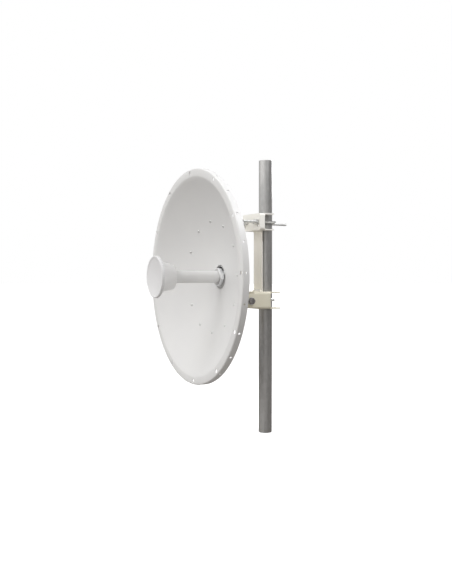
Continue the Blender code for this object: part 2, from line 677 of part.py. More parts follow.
def make_rods(made, parent):
    nuts = add_pivot("adjuster_nuts_slide", (0.0, UPPER_WEB_Y, PIN_Z), parent)
    for side, sign in (("left", -1.0), ("right", 1.0)):
        centre = (sign * ROD_X, PIN_Y, PIN_Z)
        half = EYE_WIDTH / 2.0
        eye = ring_mesh(PIN_RADIUS + GAP, EYE_RADIUS, -half, half, "X", centre, ROUND)
        item = add_object("elevation_rod_" + side, eye, made["zinc"], centre, parent)
        start = PIN_Y + (PIN_RADIUS + EYE_RADIUS) / 2.0
        along = (sign * ROD_X, 0.0, PIN_Z)
        fuse(item, rod_mesh(ROD_RADIUS - 0.0002, start, ROD_END_Y[side], "Y", along, 12, 0.0008))
        back = UPPER_WEB_Y - ROD_FRONT_PLAY
        bore = ROD_RADIUS + GAP
        front_nut = nut_mesh(NUT_FLATS, bore, back - NUT_HEIGHT, back, "Y", along)
        add_object("elevation_nut_front_" + side, front_nut, made["zinc"], along, nuts)
        front = UPPER_WEB_Y + BRACKET_SHEET + GAP
        rear_nut = nut_mesh(NUT_FLATS, bore, front, front + NUT_HEIGHT, "Y", along)
        add_object("elevation_nut_rear_" + side, rear_nut, made["zinc"], along, nuts)


def main():
    clear_scene()
    made = {
        "white": material("white_powder_coat", WHITE, 0.45, 0.0),
        "cream": material("cream_powder_coat", CREAM, 0.5, 0.0),
        "galvanised": material("galvanised_steel", ZINC, 0.45, 0.9),
        "zinc": material("zinc_plated_steel", ZINC, 0.35, 1.0),
        "dark_zinc": material("dark_zinc_steel", DARK_ZINC, 0.5, 0.8),
        "aluminium": material("cast_aluminium", ALUMINIUM, 0.35, 1.0),
        "plug": material("grey_plastic", GREY_PLASTIC, 0.6, 0.0),
        "brass": material("plated_brass", BRASS, 0.3, 1.0),
    }
    make_mast(made)
    swivel = add_pivot("azimuth_axis", (0.0, 0.0, 0.0))
    make_lower_bracket(made, swivel)
    make_upper_bracket(made, swivel)
    make_spine(made, swivel)
    make_u_bolts(made, swivel)
    make_hinge(made, swivel)
    tilt = add_pivot("elevation_axis", (0.0, HINGE_Y, HINGE_Z), swivel)
    make_tilt_channel(made, tilt)
    make_upper_stay(made, tilt)
    make_backing_pan(made, tilt)
    make_reflector(made, tilt)
    make_feed(made, tilt)
    rods = add_pivot("elevation_rods_axis", (0.0, PIN_Y, PIN_Z), tilt)
    make_rods(made, rods)


main()
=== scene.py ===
"""Looks of a parabolic dish antenna on a short galvanised mast.

Metres, +Z up, the dish faces -Y. Every piece is drawn where the solid model has it.
"""

import math

import bmesh
import bpy
from mathutils import Matrix, Vector


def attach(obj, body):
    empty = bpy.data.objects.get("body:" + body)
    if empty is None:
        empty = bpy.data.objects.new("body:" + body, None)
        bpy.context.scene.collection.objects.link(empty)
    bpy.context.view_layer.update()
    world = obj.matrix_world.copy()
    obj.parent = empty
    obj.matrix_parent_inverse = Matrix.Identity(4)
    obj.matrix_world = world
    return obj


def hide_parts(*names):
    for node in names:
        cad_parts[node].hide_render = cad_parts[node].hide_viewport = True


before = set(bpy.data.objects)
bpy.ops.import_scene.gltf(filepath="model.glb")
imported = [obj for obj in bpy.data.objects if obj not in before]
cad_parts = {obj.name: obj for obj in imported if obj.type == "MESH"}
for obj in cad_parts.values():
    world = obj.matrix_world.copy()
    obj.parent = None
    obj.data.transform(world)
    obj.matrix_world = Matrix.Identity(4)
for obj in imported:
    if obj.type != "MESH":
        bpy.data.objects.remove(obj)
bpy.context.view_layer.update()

# Everywhere
ORIGIN = (0.0, 0.0, 0.0)
SIDES = {"left": -1.0, "right": 1.0}
TOUCH = 0.0003  # room between two pieces that bear on each other
MERGE = 0.000002  # points of a drawn outline that meet
WELD = 0.00001  # points of a cut piece that fall together
ALONG = {"X": Vector((1.0, 0.0, 0.0)), "Y": Vector((0.0, 1.0, 0.0)), "Z": Vector((0.0, 0.0, 1.0))}
ACROSS = {"X": Vector((0.0, 0.0, 1.0)), "Y": Vector((1.0, 0.0, 0.0)), "Z": Vector((1.0, 0.0, 0.0))}
UP_TO = {
    "X": Matrix.Rotation(math.pi / 2.0, 4, "Y"),
    "Y": Matrix.Rotation(-math.pi / 2.0, 4, "X"),
    "Z": Matrix.Identity(4),
}

# Mast
MAST_HEIGHT = 0.863
MAST_RADIUS = 0.0212
MAST_WALL = 0.0026
PLUG_DEPTH = 0.006

# Dish
DISH_Z = 0.495
DISH_CENTRE = Vector((0.0, 0.0, DISH_Z))
DISH_RADIUS = 0.325
BOWL_RADIUS = 0.3015
BOWL_DEPTH = 0.0983
RIM_Y = -0.259
RIM_BEND = 0.004
SHEET = 0.002
SKIRT_BACK_Y = -0.2385
SKIRT_TRIM = 0.0006
FEED_OPENING = 0.0365
HOLE_PHASE = math.radians(2.0)
RIM_HOLES = 12
RIM_HOLE_CIRCLE = 0.314
RIM_HOLE_RADIUS = 0.0055
SKIRT_HOLES = 24
SKIRT_HOLE_RADIUS = 0.0033
SKIRT_HOLE_Y = -0.249
SCREWS = 12
SCREW_CIRCLE = 0.170
SCREW_RADIUS = 0.0019

# Backing pan
PAN_SHEET = 0.0025
PAN_OUTER = 0.186
PAN_FLANGE_INNER = 0.152
PAN_FLAT_RADIUS = 0.098
PAN_FLAT_Y = -0.1275
PAN_OPENING = 0.021
DRAIN_CIRCLE = 0.070
DRAIN_RADIUS = 0.006

# Feed
TUBE_RADIUS = 0.0185
TUBE_WALL = 0.0015
TUBE_ROOM = TUBE_RADIUS + TOUCH
TUBE_FRONT_Y = -0.330
TUBE_BACK_Y = -0.140
DISC_Y = -0.3798
DISC_RADIUS = 0.0624
DISC_THICKNESS = 0.009
DISC_LIP = 0.0015
CUP_FRONT_RADIUS = 0.0482
CUP_BACK_RADIUS = 0.0373
CUP_BACK_Y = -0.3215
CUP_BEND = 0.002
CUP_WALL = 0.002
HUB_RADIUS = 0.025
HUB_FRONT_Y = -0.175
HUB_SHOULDER_RADIUS = 0.0345
HUB_SHOULDER_Y = -0.162
HUB_FLANGE_RADIUS = 0.044
HUB_FLANGE_BACK = PAN_FLAT_Y - TOUCH
HUB_FLANGE_FRONT = HUB_FLANGE_BACK - 0.004
HUB_SCREW_CIRCLE = 0.0395
BAND_RADIUS = 0.028
BAND_WIDTH = 0.010
BAND_SLOTS = 14
CAP_PROUD = 0.006
SOCKET_X = 0.0095

# Tilt frame
CHANNEL_HALF = 0.0275
CHANNEL_SHEET = 0.003
CHANNEL_FRONT_Y = -0.1247
CHANNEL_BACK_Y = -0.100
CHANNEL_BOTTOM = 0.4015
CHANNEL_TOP = 0.680
HINGE = Vector((0.0, -0.083, 0.421))
HINGE_EAR = 0.0165
PIN = Vector((0.0, -0.112, 0.666))
PIN_EAR = 0.010
PIN_RADIUS = 0.005
STAY_HALF = 0.018
STAY_SHEET = 0.003
STAY_LOW_RADIUS = 0.158
STAY_HIGH_RADIUS = 0.181
STAY_SCREW = 3  # the topmost bowl screw, which also holds the stay

# Mount
BRACKET_HALF = 0.0555
BRACKET_SHEET = 0.0035
BRACKET_INNER = BRACKET_HALF - BRACKET_SHEET
BRACKET_BEND = 0.008
LOWER_BOTTOM = 0.3955
LOWER_TOP = 0.4485
LOWER_WEB_Y = -0.0275
LOWER_PLATE_FRONT = -0.0728
LOWER_SHELF_FRONT = -0.052
LOWER_CHEEK_BACK = -0.013
LOWER_PLATE_BACK = 0.0234
CHEEK_EAR = 0.0218
CHEEK_EAR_Z = 0.4228
UPPER_BOTTOM = 0.6405
UPPER_TOP = 0.6925
UPPER_WEB_Y = -0.052
UPPER_CHEEK_BACK = -0.0345
UPPER_PLATE_BACK = 0.0005
MAST_NOTCH = 0.0225
SPINE_HALF = 0.026
SPINE_FRONT_Y = -0.0285
SPINE_THICKNESS = 0.004
WELD_RIPPLES = 26

# Fasteners
WEB_Y = {"upper": UPPER_WEB_Y, "lower": LOWER_WEB_Y}
U_BOLT_Z = {"upper": 0.667, "lower": 0.4225}
U_BOLT_BEND = 0.0262
THREAD_RADIUS = 0.004
THREAD_PITCH = 0.00125
NUT_FLATS = 0.013
NUT_HEIGHT = 0.0065
HINGE_THREAD = 0.006
HINGE_NUT_HEIGHT = 0.010
ROD_X = 0.0425
ROD_END_Y = {"left": 0.1035, "right": 0.0115}
ROD_SLOT_HALF = 0.0049
ROD_SLOT_BOTTOM = 0.6510
ROD_SLOT_TOP = 0.6740
HEX_ANGLE = 28.0  # degrees; a nut's flatter edges are shaded smooth

# Studio light
SKY_EVEN = 0.38
SKY_FRONT = 1.30
SKY_TINT = (1.0, 0.99, 0.975)
LAMP_TINT = (0.98, 0.985, 1.0)
FLOOR_GLOW = 0.7
FLOOR_BOUNCE = (0.295, 0.28, 0.265)
FLOOR_RADIUS = 40.0

# Camera
CAMERA_PLACE = (2.0261, -1.1875, 0.4997)
CAMERA_AZIMUTH = math.radians(62.69)
CAMERA_PITCH = math.radians(-1.2246)
LENS = 45.37
LENS_SHIFT = -0.0015


# Modelling helpers

def activate(piece):
    """Make one piece the only selected and the active one."""
    bpy.ops.object.select_all(action="DESELECT")
    piece.select_set(True)
    bpy.context.view_layer.objects.active = piece


def discard(*pieces):
    for piece in pieces:
        bpy.data.objects.remove(piece, do_unlink=True)


def in_scene(name, data):
    """Put a curve, a lamp or a camera into the scene."""
    item = bpy.data.objects.new(name, data)
    bpy.context.scene.collection.objects.link(item)
    return item


def open_mesh(piece, kind="VERT"):
    """Enter edit mode on a piece with nothing selected."""
    activate(piece)
    bpy.ops.object.mode_set(mode="EDIT")
    bpy.ops.mesh.select_mode(type=kind)
    bpy.ops.mesh.select_all(action="DESELECT")


def close_mesh():
    bpy.ops.object.mode_set(mode="OBJECT")


def pick(piece, kind, wanted):
    """In edit mode, select the parts of a kind that pass a test."""
    mesh = bmesh.from_edit_mesh(piece.data)
    for part in getattr(mesh, kind):
        part.select_set(wanted(part))
    mesh.select_flush_mode()
    bmesh.update_edit_mesh(piece.data)


def settle(piece):
    """Put a piece's place, turn and scale into its mesh."""
    activate(piece)
    bpy.ops.object.transform_apply(location=True, rotation=True, scale=True)
    return piece


def smooth(piece, degrees=32.0):
    """Shade a piece smoothly, but for the edges that are sharper than an angle."""
    activate(piece)
    bpy.ops.object.shade_smooth_by_angle(angle=math.radians(degrees))
    return piece


def draw_outline(name, points):
    """Draw a line of points from one vertex, and leave the piece in edit mode."""
    bpy.ops.object.select_all(action="DESELECT")
    bpy.ops.mesh.primitive_plane_add(size=0.001, location=points[0])
    piece = bpy.context.object
    piece.name = name
    settle(piece)
    bpy.ops.object.mode_set(mode="EDIT")
    bpy.ops.mesh.select_mode(type="VERT")
    bpy.ops.mesh.select_all(action="SELECT")
    bpy.ops.mesh.merge(type="CENTER")
    for before, after in zip(points, points[1:]):
        bpy.ops.mesh.extrude_vertices_move(TRANSFORM_OT_translate={"value": after - before})
    return piece


def turn(name, outline, axis, centre, sides=48):
    """Spin a closed outline of (radius, distance along the axis) points into a round piece."""
    centre = Vector(centre)
    along = ALONG[axis]
    across = ACROSS[axis]
    points = [centre + across * radius + along * distance for radius, distance in outline]
    if outline[0][0] > 0.0 or outline[-1][0] > 0.0:
        points.append(points[0])
    piece = draw_outline(name, points)
    bpy.ops.mesh.select_all(action="SELECT")
    bpy.ops.mesh.spin(steps=sides, angle=2.0 * math.pi, center=centre, axis=along)
    bpy.ops.mesh.select_all(action="SELECT")
    bpy.ops.mesh.remove_doubles(threshold=MERGE)
    bpy.ops.mesh.normals_make_consistent(inside=False)
    close_mesh()
    return smooth(piece)


def bar(name, radius, start, end, axis, centre, sides=32, chamfer=0.0005):
    """A full round bar with chamfered ends."""
    outline = [(0.0, start), (radius - chamfer, start), (radius, start + chamfer)]
    outline += [(radius, end - chamfer), (radius - chamfer, end), (0.0, end)]
    return turn(name, outline, axis, centre, sides)


def collar(name, inner, outer, start, end, axis, centre, sides=48, chamfer=0.0003):
    """A round piece with a straight bore, chamfered outside."""
    outline = [(inner, start), (outer - chamfer, start), (outer, start + chamfer)]
    outline += [(outer, end - chamfer), (outer - chamfer, end), (inner, end)]
    return turn(name, outline, axis, centre, sides)


def thread_points(radius, start, end, pitch=THREAD_PITCH):
    """Outline of a threaded bar between two places, with V grooves one pitch apart."""
    depth = 0.5 * pitch
    points = [(radius - depth, start)]
    for turn_number in range(int((end - start) / pitch)):
        crest = start + (turn_number + 0.5) * pitch
        points += [(radius, crest), (radius - depth, crest + pitch / 2.0)]
    points.append((radius - depth, end))
    return points


def plate(name, outline, x_from, x_to):
    """Extrude a closed outline of (y, z) points from one x to another."""
    points = [Vector((x_from, y, z)) for y, z in outline]
    piece = draw_outline(name, points + points[:1])
    bpy.ops.mesh.select_all(action="SELECT")
    bpy.ops.mesh.remove_doubles(threshold=MERGE)
    bpy.ops.mesh.edge_face_add()
    bpy.ops.mesh.extrude_region_move(TRANSFORM_OT_translate={"value": (x_to - x_from, 0.0, 0.0)})
    bpy.ops.mesh.select_all(action="SELECT")
    bpy.ops.mesh.normals_make_consistent(inside=False)
    close_mesh()
    return piece


def arc(centre, radius, first, last, steps):
    """Points on an arc, angles in degrees from the first coordinate towards the second."""
    points = []
    for step in range(steps + 1):
        angle = math.radians(first + (last - first) * step / steps)
        points.append((centre[0] + radius * math.cos(angle), centre[1] + radius * math.sin(angle)))
    return points


def block(name, low, high):
    """A block between two corners, to be rounded or to cut with."""
    low = Vector(low)
    high = Vector(high)
    bpy.ops.object.select_all(action="DESELECT")
    bpy.ops.mesh.primitive_cube_add(size=1.0, location=(low + high) / 2.0, scale=high - low)
    piece = bpy.context.object
    piece.name = name
    return settle(piece)


def runs_along(edge, axis):
    first, second = (vert.co for vert in edge.verts)
    return (first - second).normalized().cross(ALONG[axis]).length < 0.001


def round_along(piece, axis, width, segments=6, wanted=None):
    """Round the edges of a piece that run along an axis, or those of them that pass a test."""
    open_mesh(piece, "EDGE")
    pick(piece, "edges", lambda edge: runs_along(edge, axis) and (wanted is None or wanted(edge)))
    bpy.ops.mesh.bevel(offset=width, segments=segments, affect="EDGES")
    close_mesh()
    return piece


def folded_block(name, half, front, back, low, high, bend):
    """A block as wide as sheet folded round it, with the bends along Y."""
    return round_along(block(name, (-half, front, low), (half, back, high)), "Y", bend)


def modify(piece, kind, **settings):
    """Put a modifier on a piece and apply it."""
    activate(piece)
    change = piece.modifiers.new(kind, kind)
    for name, value in settings.items():
        setattr(change, name, value)
    bpy.ops.object.modifier_apply(modifier=change.name)


def combine(piece, tool, operation="DIFFERENCE"):
    """Add, cut or keep the shared part of another shape, which is used up."""
    modify(piece, "BOOLEAN", operation=operation, object=tool, solver="EXACT")
    discard(tool)
    return piece


def drill(piece, radius, start, end, axis, centre, sides=32):
    return combine(piece, bar("tool", radius, start, end, axis, centre, sides, 0.0))


def weld_points(piece):
    """Merge points that fall together, drop faces without area, and close the slits that leaves."""
    open_mesh(piece)
    bpy.ops.mesh.select_all(action="SELECT")
    bpy.ops.mesh.remove_doubles(threshold=WELD)
    bpy.ops.mesh.dissolve_degenerate(threshold=WELD)
    bpy.ops.mesh.fill_holes(sides=6)
    close_mesh()
    return piece


def ease_edges(piece, width=0.0005, segments=2, degrees=50.0):
    """Take the sharpness off every hard edge, and keep the faces between them flat to the light."""
    weld_points(piece)
    limit = math.radians(degrees)
    modify(piece, "BEVEL", limit_method="ANGLE", angle_limit=limit, width=width, segments=segments)
    smooth(weld_points(piece))
    modify(piece, "WEIGHTED_NORMAL", keep_sharp=True)
    return piece


def join(first, *others):
    """Make several shapes one piece, under the first one's name."""
    activate(first)
    for piece in others:
        piece.select_set(True)
    bpy.ops.object.join()
    return first


def copied(source, name, placing):
    """A copy of a piece with a mesh of its own, moved by a matrix."""
    activate(source)
    bpy.ops.object.duplicate()
    piece = bpy.context.object
    piece.name = name
    piece.matrix_world = placing
    return settle(piece)


def dress(piece, body, finish, *nodes):
    """Give a piece its finish, let it move with a body, and hide the solids it stands for."""
    piece.data.materials.clear()
    piece.data.materials.append(finish.material)
    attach(piece, body)
    if nodes:
        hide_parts(*nodes)
    return piece


# Shader helpers

class Value:
    """A shader socket that takes part in arithmetic."""

    def __init__(self, tree, socket):
        self.tree = tree
        self.socket = socket

    def _math(self, operation, first, second):
        node = self.tree.nodes.new("ShaderNodeMath")
        node.operation = operation
        set_inputs(self.tree, node, {0: first, 1: second})
        return Value(self.tree, node.outputs[0])

    def __add__(self, other):
        return self._math("ADD", self, other)

    def __radd__(self, other):
        return self._math("ADD", other, self)

    def __mul__(self, other):
        return self._math("MULTIPLY", self, other)

    def __rmul__(self, other):
        return self._math("MULTIPLY", other, self)

    def above_zero(self):
        return self._math("MAXIMUM", self, 0.0)


def connect(tree, target, value):
    """Link a shader value to a socket, or set the socket where the value is plain."""
    if isinstance(value, Value):
        tree.links.new(value.socket, target)
    else:
        target.default_value = value


def set_inputs(tree, node, values):
    """Set or link a node's sockets, by name or number."""
    for name, value in values.items():
        connect(tree, node.inputs[name], value)


class Finish:
    """A surface finish: one material with its shader, and the slot it belongs to."""

    def __init__(self, slot, colour, roughness, metallic=0.0, name=""):
        self.slot = slot
        self.material = bpy.data.materials.new(name or slot)
        self.material.use_nodes = True
        self.tree = self.material.node_tree
        self.shader = self.tree.nodes["Principled BSDF"]
        self.set("Base Color", rgba(*colour))
        self.set("Roughness", roughness)
        self.set("Metallic", metallic)
        self.place = self.node("TexCoord", {}, {}, "Object")

    def set(self, name, value):
        connect(self.tree, self.shader.inputs[name], value)

    def node(self, kind, settings, inputs, output=0):
        """Add a node: its settings come first, then the values or links of its sockets."""
        made = self.tree.nodes.new("ShaderNode" + kind)
        for name, value in settings.items():
            setattr(made, name, value)
        set_inputs(self.tree, made, inputs)
        return Value(self.tree, made.outputs[output])

    def stretched(self, scale, centre=ORIGIN):
        """The place on the piece, stretched and moved for a pattern."""
        return self.node("Mapping", {}, {"Vector": self.place, "Location": centre, "Scale": scale})

    def noise(self, scale, detail=2.0, vector=None):
        vector = vector or self.place
        return self.node("TexNoise", {}, {"Vector": vector, "Scale": scale, "Detail": detail}, "Fac")

    def between(self, mask, low, high):
        """Stretch a mask so that low gives 0 and high gives 1, and stop it there."""
        inputs = {"Value": mask, "From Min": low, "From Max": high}
        return self.node("MapRange", {}, inputs, "Result")

    def blend(self, mask, first, second):
        """Mix two colours by a mask."""
        inputs = {0: mask, 6: first, 7: second}
        return self.node("Mix", {"data_type": "RGBA"}, inputs, 2)

    def bump(self, height, strength, distance):
        inputs = {"Height": height, "Strength": strength, "Distance": distance}
        self.set("Normal", self.node("Bump", {}, inputs, "Normal"))


def rgba(red, green, blue):
    return (red, green, blue, 1.0)


def powder_coat(slot, colour, shade, roughness, grain, relief):
    """Powder coat: a fine orange peel, with slow changes of tone and gloss."""
    finish = Finish(slot, colour, roughness)
    cloud = finish.between(finish.noise(9.0, 3.0), 0.3, 0.7)
    speck = finish.between(finish.noise(420.0, 2.0), 0.68, 0.78)
    tone = finish.blend(cloud, rgba(*colour), rgba(*shade))
    finish.set("Base Color", finish.blend(speck * 0.25, tone, rgba(*[0.8 * part for part in shade])))
    finish.set("Roughness", roughness + 0.10 * cloud + 0.08 * finish.noise(60.0))
    finish.bump(finish.noise(grain, 1.5) + 0.4 * finish.noise(grain * 2.7, 1.0), relief, 0.0004)
    return finish


def white_coat(colour, shade, relief):
    return powder_coat("white_coat", colour, shade, 0.40, 520.0, relief)


def cream_coat(colour, shade):
    return powder_coat("cream_coat", colour, shade, 0.42, 430.0, 0.16)


def galvanised_steel():
    """Hot dip zinc: crystals of different grey, long draw marks and small runs."""
    finish = Finish("galvanised_steel", (0.5, 0.5, 0.5), 0.4, 0.85)
    flake = finish.stretched((1.0, 1.0, 0.55))
    crystal = finish.node("TexVoronoi", {}, {"Vector": flake, "Scale": 150.0}, "Color")
    crystal = finish.node("SeparateColor", {}, {"Color": crystal}, "Red")
    drawn = finish.noise(40.0, 4.0, finish.stretched((6.0, 6.0, 0.12)))
    cloud = finish.between(finish.noise(22.0, 4.0, finish.stretched((1.0, 1.0, 0.25))), 0.35, 0.65)
    mask = 0.20 * crystal + 0.50 * drawn + 0.30 * cloud
    finish.set("Base Color", finish.blend(mask, rgba(0.33, 0.325, 0.32), rgba(0.56, 0.56, 0.555)))
    finish.set("Roughness", 0.26 + 0.22 * mask)
    finish.bump(drawn + 0.4 * crystal, 0.07, 0.0005)
    return finish


def plated_steel(slot, dark, light, roughness, metallic):
    """Zinc plate: clouded and slightly tinted, with fine scratches."""
    finish = Finish(slot, light, roughness, metallic)
    cloud = finish.between(finish.noise(160.0, 4.0), 0.35, 0.65)
    scratch = finish.noise(300.0, 3.0, finish.stretched((1.0, 8.0, 1.0)))
    finish.set("Base Color", finish.blend(cloud, rgba(*dark), rgba(*light)))
    finish.set("Roughness", roughness + 0.16 * cloud)
    finish.bump(scratch, 0.08, 0.0003)
    return finish


def turned_metal(slot, dark, light, roughness, metallic=1.0, name=""):
    """Turned metal: fine tool rings about the dish's axis."""
    finish = Finish(slot, light, roughness, metallic, name)
    centred = finish.stretched((1.0, 0.0, 1.0), (0.0, 0.0, -DISH_Z))
    reach = finish.node("VectorMath", {"operation": "LENGTH"}, {0: centred}, "Value")
    depth = finish.node("SeparateXYZ", {}, {"Vector": finish.place}, "Y")
    cuts = {"W": reach + depth, "Scale": 2600.0, "Detail": 2.0}
    rings = finish.node("TexNoise", {"noise_dimensions": "1D"}, cuts, "Fac")
    cloud = finish.noise(90.0, 3.0)
    finish.set("Base Color", finish.blend(cloud, rgba(*dark), rgba(*light)))
    finish.set("Roughness", roughness + 0.18 * rings)
    finish.bump(rings, 0.20, 0.0002)
    return finish


def moulded_plastic(slot, colour, shade, roughness, grain):
    """Moulded plastic: a fine even grain, with faint clouds of tone and gloss."""
    finish = Finish(slot, colour, roughness)
    cloud = finish.between(finish.noise(14.0, 3.0), 0.3, 0.7)
    finish.set("Base Color", finish.blend(cloud, rgba(*colour), rgba(*shade)))
    finish.set("Roughness", roughness + 0.10 * finish.noise(80.0, 3.0))
    finish.bump(finish.noise(grain, 2.0), 0.05, 0.0003)
    return finish


WHITE = white_coat((0.79, 0.79, 0.785), (0.77, 0.77, 0.77), 0.10)
CREAM = cream_coat((0.912, 0.89, 0.838), (0.892, 0.866, 0.803))
# Lighter copy of the cream coat for the upper bracket: painted light, standing in for the brighter light
# that falls on it
CREAM_PAINTED_LIGHT = cream_coat((0.945, 0.93, 0.885), (0.93, 0.915, 0.86))
# Darker, yellower copy of the cream coat for the lower bracket: painted shade, with a yellower tint
CREAM_PAINTED_SHADE = cream_coat((0.85, 0.815, 0.68), (0.82, 0.775, 0.62))
# Lighter copy of the white coat for the feed tube: painted light, standing in for the light that falls on
# its underside
WHITE_TUBE_PAINTED_LIGHT = white_coat((0.86, 0.86, 0.855), (0.84, 0.84, 0.84), 0.08)
FEED_PLASTIC = moulded_plastic("white_plastic", (0.83, 0.83, 0.84), (0.81, 0.81, 0.82), 0.34, 700.0)
# Lighter copy of the white plastic for the cup, brighter than the disc's: painted light on the cup
CUP_PLASTIC_PAINTED_LIGHT = moulded_plastic("white_plastic", (0.93, 0.93, 0.93), (0.91, 0.91, 0.91), 0.34, 700.0)
GALVANISED = galvanised_steel()
ZINC = plated_steel("zinc_plate", (0.62, 0.63, 0.63), (0.84, 0.84, 0.83), 0.28, 1.0)
DARK_ZINC = plated_steel("dark_zinc", (0.21, 0.20, 0.20), (0.36, 0.345, 0.345), 0.38, 0.7)
ALUMINIUM = turned_metal("bare_aluminium", (0.84, 0.85, 0.86), (0.94, 0.95, 0.96), 0.36, 0.55)
CAST_ALUMINIUM = turned_metal(
    "bare_aluminium", (0.60, 0.60, 0.60), (0.76, 0.76, 0.76), 0.46, name="cast_aluminium")
BRASS = turned_metal("plated_brass", (0.58, 0.52, 0.38), (0.72, 0.66, 0.50), 0.24)
GREY_PLASTIC = moulded_plastic("grey_plastic", (0.28, 0.29, 0.30), (0.24, 0.25, 0.26), 0.50, 500.0)


# Dish

def bowl_y(radius):
    """Front surface of the bowl at a distance from the dish's axis."""
    return RIM_Y + BOWL_DEPTH * (1.0 - (radius / BOWL_RADIUS) ** 2)


def dish_angle(index, count):
    return HOLE_PHASE + 2.0 * math.pi * index / count


DIAGONALS = [math.pi / 4.0 * (1 + 2 * index) for index in range(4)]


def about_dish(angle):
    """A turn about the dish's axis, for a piece that was drawn on its +X side."""
    turned = Matrix.Translation(DISH_CENTRE) @ Matrix.Rotation(-angle, 4, "Y")
    return turned @ Matrix.Translation(-DISH_CENTRE)


def cut_about_dish(piece, tool, angles):
    """Cut the same hole at several angles about the dish's axis."""
    tools = [copied(tool, "hole", about_dish(angle)) for angle in angles]
    discard(tool)
    combine(piece, join(*tools))


def make_reflector():
    """The spun bowl, with the holes in its flat rim and skirt."""
    outer = BOWL_RADIUS - 0.001
    steps = 30
    front = []
    for step in range(steps + 1):
        radius = FEED_OPENING + (outer - FEED_OPENING) * step / steps
        front.append((radius, bowl_y(radius)))
    front.append((BOWL_RADIUS + 0.0015, RIM_Y))
    back = [(radius, along + SHEET) for radius, along in reversed(front)]
    bend_centre = (DISH_RADIUS - RIM_BEND, RIM_Y + RIM_BEND)
    bend = arc(bend_centre, RIM_BEND, -90.0, 0.0, 6)
    inner_bend = arc(bend_centre, RIM_BEND - SHEET, 0.0, -90.0, 4)
    inside = DISH_RADIUS - SHEET
    trimmed = SKIRT_BACK_Y - SKIRT_TRIM
    edge = [(DISH_RADIUS, trimmed), (DISH_RADIUS - SKIRT_TRIM, SKIRT_BACK_Y)]
    edge += [(inside + SKIRT_TRIM, SKIRT_BACK_Y), (inside, trimmed)]
    dish = turn("dish_shell", front + bend + edge + inner_bend + back, "Y", DISH_CENTRE, 180)
    place = (RIM_HOLE_CIRCLE, 0.0, DISH_Z)
    rim_tool = bar("rim_hole", RIM_HOLE_RADIUS, RIM_Y - 0.005, RIM_Y + 0.008, "Y", place, 28, 0.0)
    place = (0.0, SKIRT_HOLE_Y, DISH_Z)
    start = DISH_RADIUS - 0.006
    skirt_tool = bar("skirt_hole", SKIRT_HOLE_RADIUS, start, start + 0.012, "X", place, 20, 0.0)
    for tool, count in ((rim_tool, RIM_HOLES), (skirt_tool, SKIRT_HOLES)):
        cut_about_dish(dish, tool, [dish_angle(index, count) for index in range(count)])
    dress(smooth(weld_points(dish), 30.0), "dish", WHITE, "reflector")


def make_backing_pan():
    """The deep pan behind the bowl, with its flange, cone and holed flat."""
    steps = 6
    front = []
    for step in range(steps + 1):
        radius = PAN_OUTER + (PAN_FLANGE_INNER - PAN_OUTER) * step / steps
        front.append((radius, bowl_y(radius) + SHEET + TOUCH))
    front += [
        (PAN_FLANGE_INNER - 0.003, bowl_y(PAN_FLANGE_INNER) + 0.0055),
        (PAN_FLAT_RADIUS + 0.008, PAN_FLAT_Y - 0.0045), (PAN_FLAT_RADIUS + 0.004, PAN_FLAT_Y - 0.0015),
        (PAN_FLAT_RADIUS - 0.001, PAN_FLAT_Y), (PAN_OPENING, PAN_FLAT_Y)]
    back = [(radius, along + PAN_SHEET) for radius, along in reversed(front)]
    pan = turn("pan", front + back, "Y", DISH_CENTRE, 120)
    place = (DRAIN_CIRCLE, 0.0, DISH_Z)
    tool = bar("drain_hole", DRAIN_RADIUS, PAN_FLAT_Y - 0.01, PAN_FLAT_Y + 0.01, "Y", place, 24, 0.0)
    cut_about_dish(pan, tool, DIAGONALS)
    dress(ease_edges(pan, 0.0004, 1, 60.0), "dish", CREAM, "backing_pan")


def hex_prism(name, flats, start, end, axis, centre):
    """A six-sided bar whose ends are chamfered as a bolt head's or nut's are."""
    corner = flats / math.sqrt(3.0)
    middle = Vector(centre) + ALONG[axis] * (start + end) / 2.0
    bpy.ops.object.select_all(action="DESELECT")
    bpy.ops.mesh.primitive_cylinder_add(vertices=6, radius=corner, depth=end - start)
    piece = bpy.context.object
    piece.name = name
    piece.matrix_world = Matrix.Translation(middle) @ UP_TO[axis]
    settle(piece)
    inner = 0.475 * flats
    outer = corner + 0.0001
    drop = (corner - flats / 2.0) * 0.62
    outline = [(0.0, start), (inner, start), (outer, start + drop)]
    outline += [(outer, end - drop), (inner, end), (0.0, end)]
    return combine(piece, turn("chamfer", outline, axis, centre, 36), "INTERSECT")


def hex_nut(name, flats, thread, height, axis):
    """A nut about the origin, from 0 to its height, with a countersunk bore."""
    nut = hex_prism(name, flats, 0.0, height, axis, ORIGIN)
    sink = 0.0009
    wide = thread + 0.0007
    skin = 0.0001
    beyond = 0.001
    top = height + beyond
    outline = [(0.0, -beyond), (wide, -beyond), (wide, skin), (thread, sink)]
    outline += [(thread, height - sink), (wide, height - skin), (wide, top), (0.0, top)]
    combine(nut, turn("bore", outline, axis, ORIGIN, 28))
    return smooth(nut, HEX_ANGLE)


